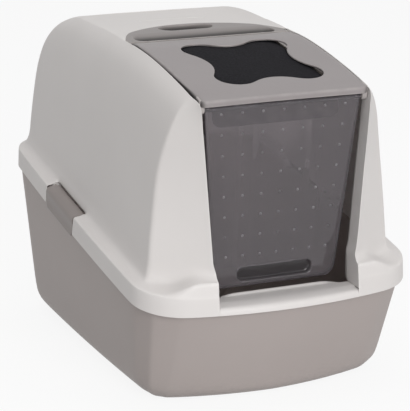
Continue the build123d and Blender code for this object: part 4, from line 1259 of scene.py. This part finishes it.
def buildLatch(shape, side, name):
    # across, lift, and how much shorter the front and rear ends are there
    profile = [(187.0, 21.2, 0, 7), (186.3, 24.2, 0, 8), (186.7, 28.4, 0, 8), (190.4, 29.4, 0, 6.5),
               (194.5, 28.7, 1, 4.5), (199.0, 26.8, 3.2, 2), (202.6, 24.7, 3.8, 0.5), (205.2, 21.6, 3.0, 0),
               (206.0, 18.4, 1.5, 0), (205.4, 13.0, 0.4, 0), (204.8, 7.5, 0, 0.6), (205.1, 2.0, 0.8, 2.2),
               (206.0, -2.4, 3.0, 5), (206.0, -4.4, 5, 8), (204.8, -5.0, 5.5, 8.5), (203.4, -4.4, 5, 8),
               (202.9, -1.5, 3, 5), (202.2, 6.0, 0, 0.8), (202.5, 14.0, 0.4, 0), (201.4, 18.4, 1.5, 0),
               (198.4, 21.4, 3, 2), (194.8, 22.6, 1, 4.5), (192.6, 20.4, 0, 6), (189.6, 19.6, 0, 7)]
    rows = []
    middle = sum(p[0] for p in profile) / len(profile), sum(p[1] for p in profile) / len(profile)
    # share of the length, and how far the section draws in at the two ends
    sections = [(0.0, 0.12), (0.0, 0.04)]
    sections += [(share, 0.0) for share in (0.008, 0.03, 0.08, 0.3, 0.5, 0.7, 0.92, 0.97, 0.992)]
    sections += [(1.0, 0.04), (1.0, 0.12)]
    for share, shrink in sections:
        line = []
        for x, lift, short, shortRear in profile:
            y = blend(shape["front"] + short, shape["rear"] - shortRear, share)
            if shrink == 0.04:
                y += 0.5 if share < 0.5 else -0.5
            x, lift = blend(x, middle[0], shrink * 0.4), blend(lift, middle[1], shrink * 0.12)
            line.append(besideRim(side * x, y, lift))
        rows.append(line)
    bm = bmesh.new()
    made = addSolid(bm, rows)
    for end in (0, -1):
        creaseLine(bm, made[end] + made[end][:1], 0.6)
    latch = makePiece(bm, name.replace("_", "") + "Clip", name, [name], latchPlastic)
    subdivide(latch, 2)
    # round knuckle where the pin enters, standing a little proud of the front end
    bm = bmesh.new()
    rings = []
    for ahead, r in shape["knuckle"]:
        rings.append([besideRim(side * (shape["axis"][0] + r * math.cos(a)), shape["front"] + ahead,
                                shape["axis"][1] + r * math.sin(a)) for a in fullTurn(20)])
    addSolid(bm, rings)
    makePiece(bm, name.replace("_", "") + "Knuckle", name, [], latchPlastic, weld=0)


buildLatch(latchShape, -1, "latch_left")
buildLatch(latchShape, 1, "latch_right")
print("latches made")

stageLook = dict(floorSize=9.0, cardTone=(206, 206, 206), ground=(249, 249, 249), evenShare=0.86,
                 worldStrength=0.5, evenStrength=1.032)


def seenRays(tree):
    # 1 for what is seen straight on, mirrored or through clear plastic
    path = addNode(tree, "ShaderNodeLightPath")
    either = reckon(tree, "MAXIMUM", path.outputs["Is Camera Ray"], path.outputs["Is Glossy Ray"])
    return reckon(tree, "MAXIMUM", either, path.outputs["Is Transmission Ray"])


def buildStage(look):
    bpy.ops.mesh.primitive_plane_add(size=look["floorSize"], location=(0, 0, 0))
    floor = bpy.context.active_object
    floor.name = "floor"
    material, tree, shader, out = startMaterial("floorCard")
    shader.inputs["Base Color"].default_value = tone(*look["cardTone"])
    shader.inputs["Roughness"].default_value = 0.9
    shader.inputs["Specular IOR Level"].default_value = 0.05
    even = addNode(tree, "ShaderNodeEmission", {"Color": (1, 1, 1, 1), "Strength": look["evenStrength"]})
    share = reckon(tree, "MULTIPLY", seenRays(tree), look["evenShare"])
    mix = addNode(tree, "ShaderNodeMixShader", {0: share, 1: shader.outputs[0], 2: even.outputs[0]})
    tree.links.new(mix.outputs[0], out.inputs[0])
    floor.data.materials.append(material)
    world = bpy.data.worlds.new("softWorld")
    bpy.context.scene.world = world
    world.use_nodes = True
    tree = world.node_tree
    tree.nodes.clear()
    seen = seenRays(tree)
    lit = addNode(tree, "ShaderNodeBackground", {"Color": (1, 1, 1, 1), "Strength": look["worldStrength"]})
    shown = addNode(tree, "ShaderNodeBackground", {"Color": tone(*look["ground"]), "Strength": 1.0})
    mix = addNode(tree, "ShaderNodeMixShader", {0: seen, 1: lit.outputs[0], 2: shown.outputs[0]})
    addNode(tree, "ShaderNodeOutputWorld", {0: mix.outputs[0]})


buildStage(stageLook)

lampSettings = [
    dict(name="keyLamp", place=(-0.25, -3.4, 1.25), aim=(0, 0, 0.25), size=1.9, power=76.0, hidden=False),
    dict(name="insideLamp", place=(0, 0.02, 0.3), aim=(0, 0.2, 0.46), size=0.16, power=0.24, hidden=True),
    dict(name="topLamp", place=(0.1, 0.4, 3.6), aim=(0, 0, 0.2), size=2.6, power=30.0, hidden=False),
]


def buildLamps(settings):
    for lamp in settings:
        data = bpy.data.lights.new(lamp["name"], "AREA")
        data.shape = "SQUARE"
        data.size = lamp["size"]
        data.energy = lamp["power"]
        light = bpy.data.objects.new(lamp["name"], data)
        bpy.context.scene.collection.objects.link(light)
        light.location = lamp["place"]
        if lamp["hidden"]:
            light.visible_camera = light.visible_glossy = light.visible_transmission = False
        ahead = Vector(lamp["aim"]) - Vector(lamp["place"])
        light.rotation_euler = ahead.to_track_quat("-Z", "Y").to_euler()


buildLamps(lampSettings)

cameraView = dict(azimuth=-23.8, elevation=15.1, distance=2.7031, target=(-0.0019, -0.0029, 0.2081),
                  lens=163.3, sensor=36.0, far=50.0)


def buildCamera(view):
    a, e = math.radians(view["azimuth"]), math.radians(view["elevation"])
    back = Vector((math.sin(a) * math.cos(e), -math.cos(a) * math.cos(e), math.sin(e)))
    data = bpy.data.cameras.new("camera")
    data.lens = view["lens"]
    data.sensor_width = view["sensor"]
    camera = bpy.data.objects.new("camera", data)
    bpy.context.scene.collection.objects.link(camera)
    camera.location = Vector(view["target"]) + back * view["distance"]
    camera.rotation_euler = back.to_track_quat("Z", "Y").to_euler()
    data.clip_end = view["far"]
    bpy.context.scene.camera = camera


buildCamera(cameraView)
bpy.context.scene.view_settings.view_transform = "Standard"

carriedOver = ["filter_tray", "tray_hinge_pin", "lid_hinge_pin_left", "lid_hinge_pin_right",
               "door_hinge_pin_left", "door_hinge_pin_right", "latch_pin_left", "latch_pin_right"]
for node in carriedOver:
    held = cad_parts[node].data.materials
    if len(held):
        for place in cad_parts[node].material_slots:
            place.material = innerPlastic
    else:
        held.append(innerPlastic)
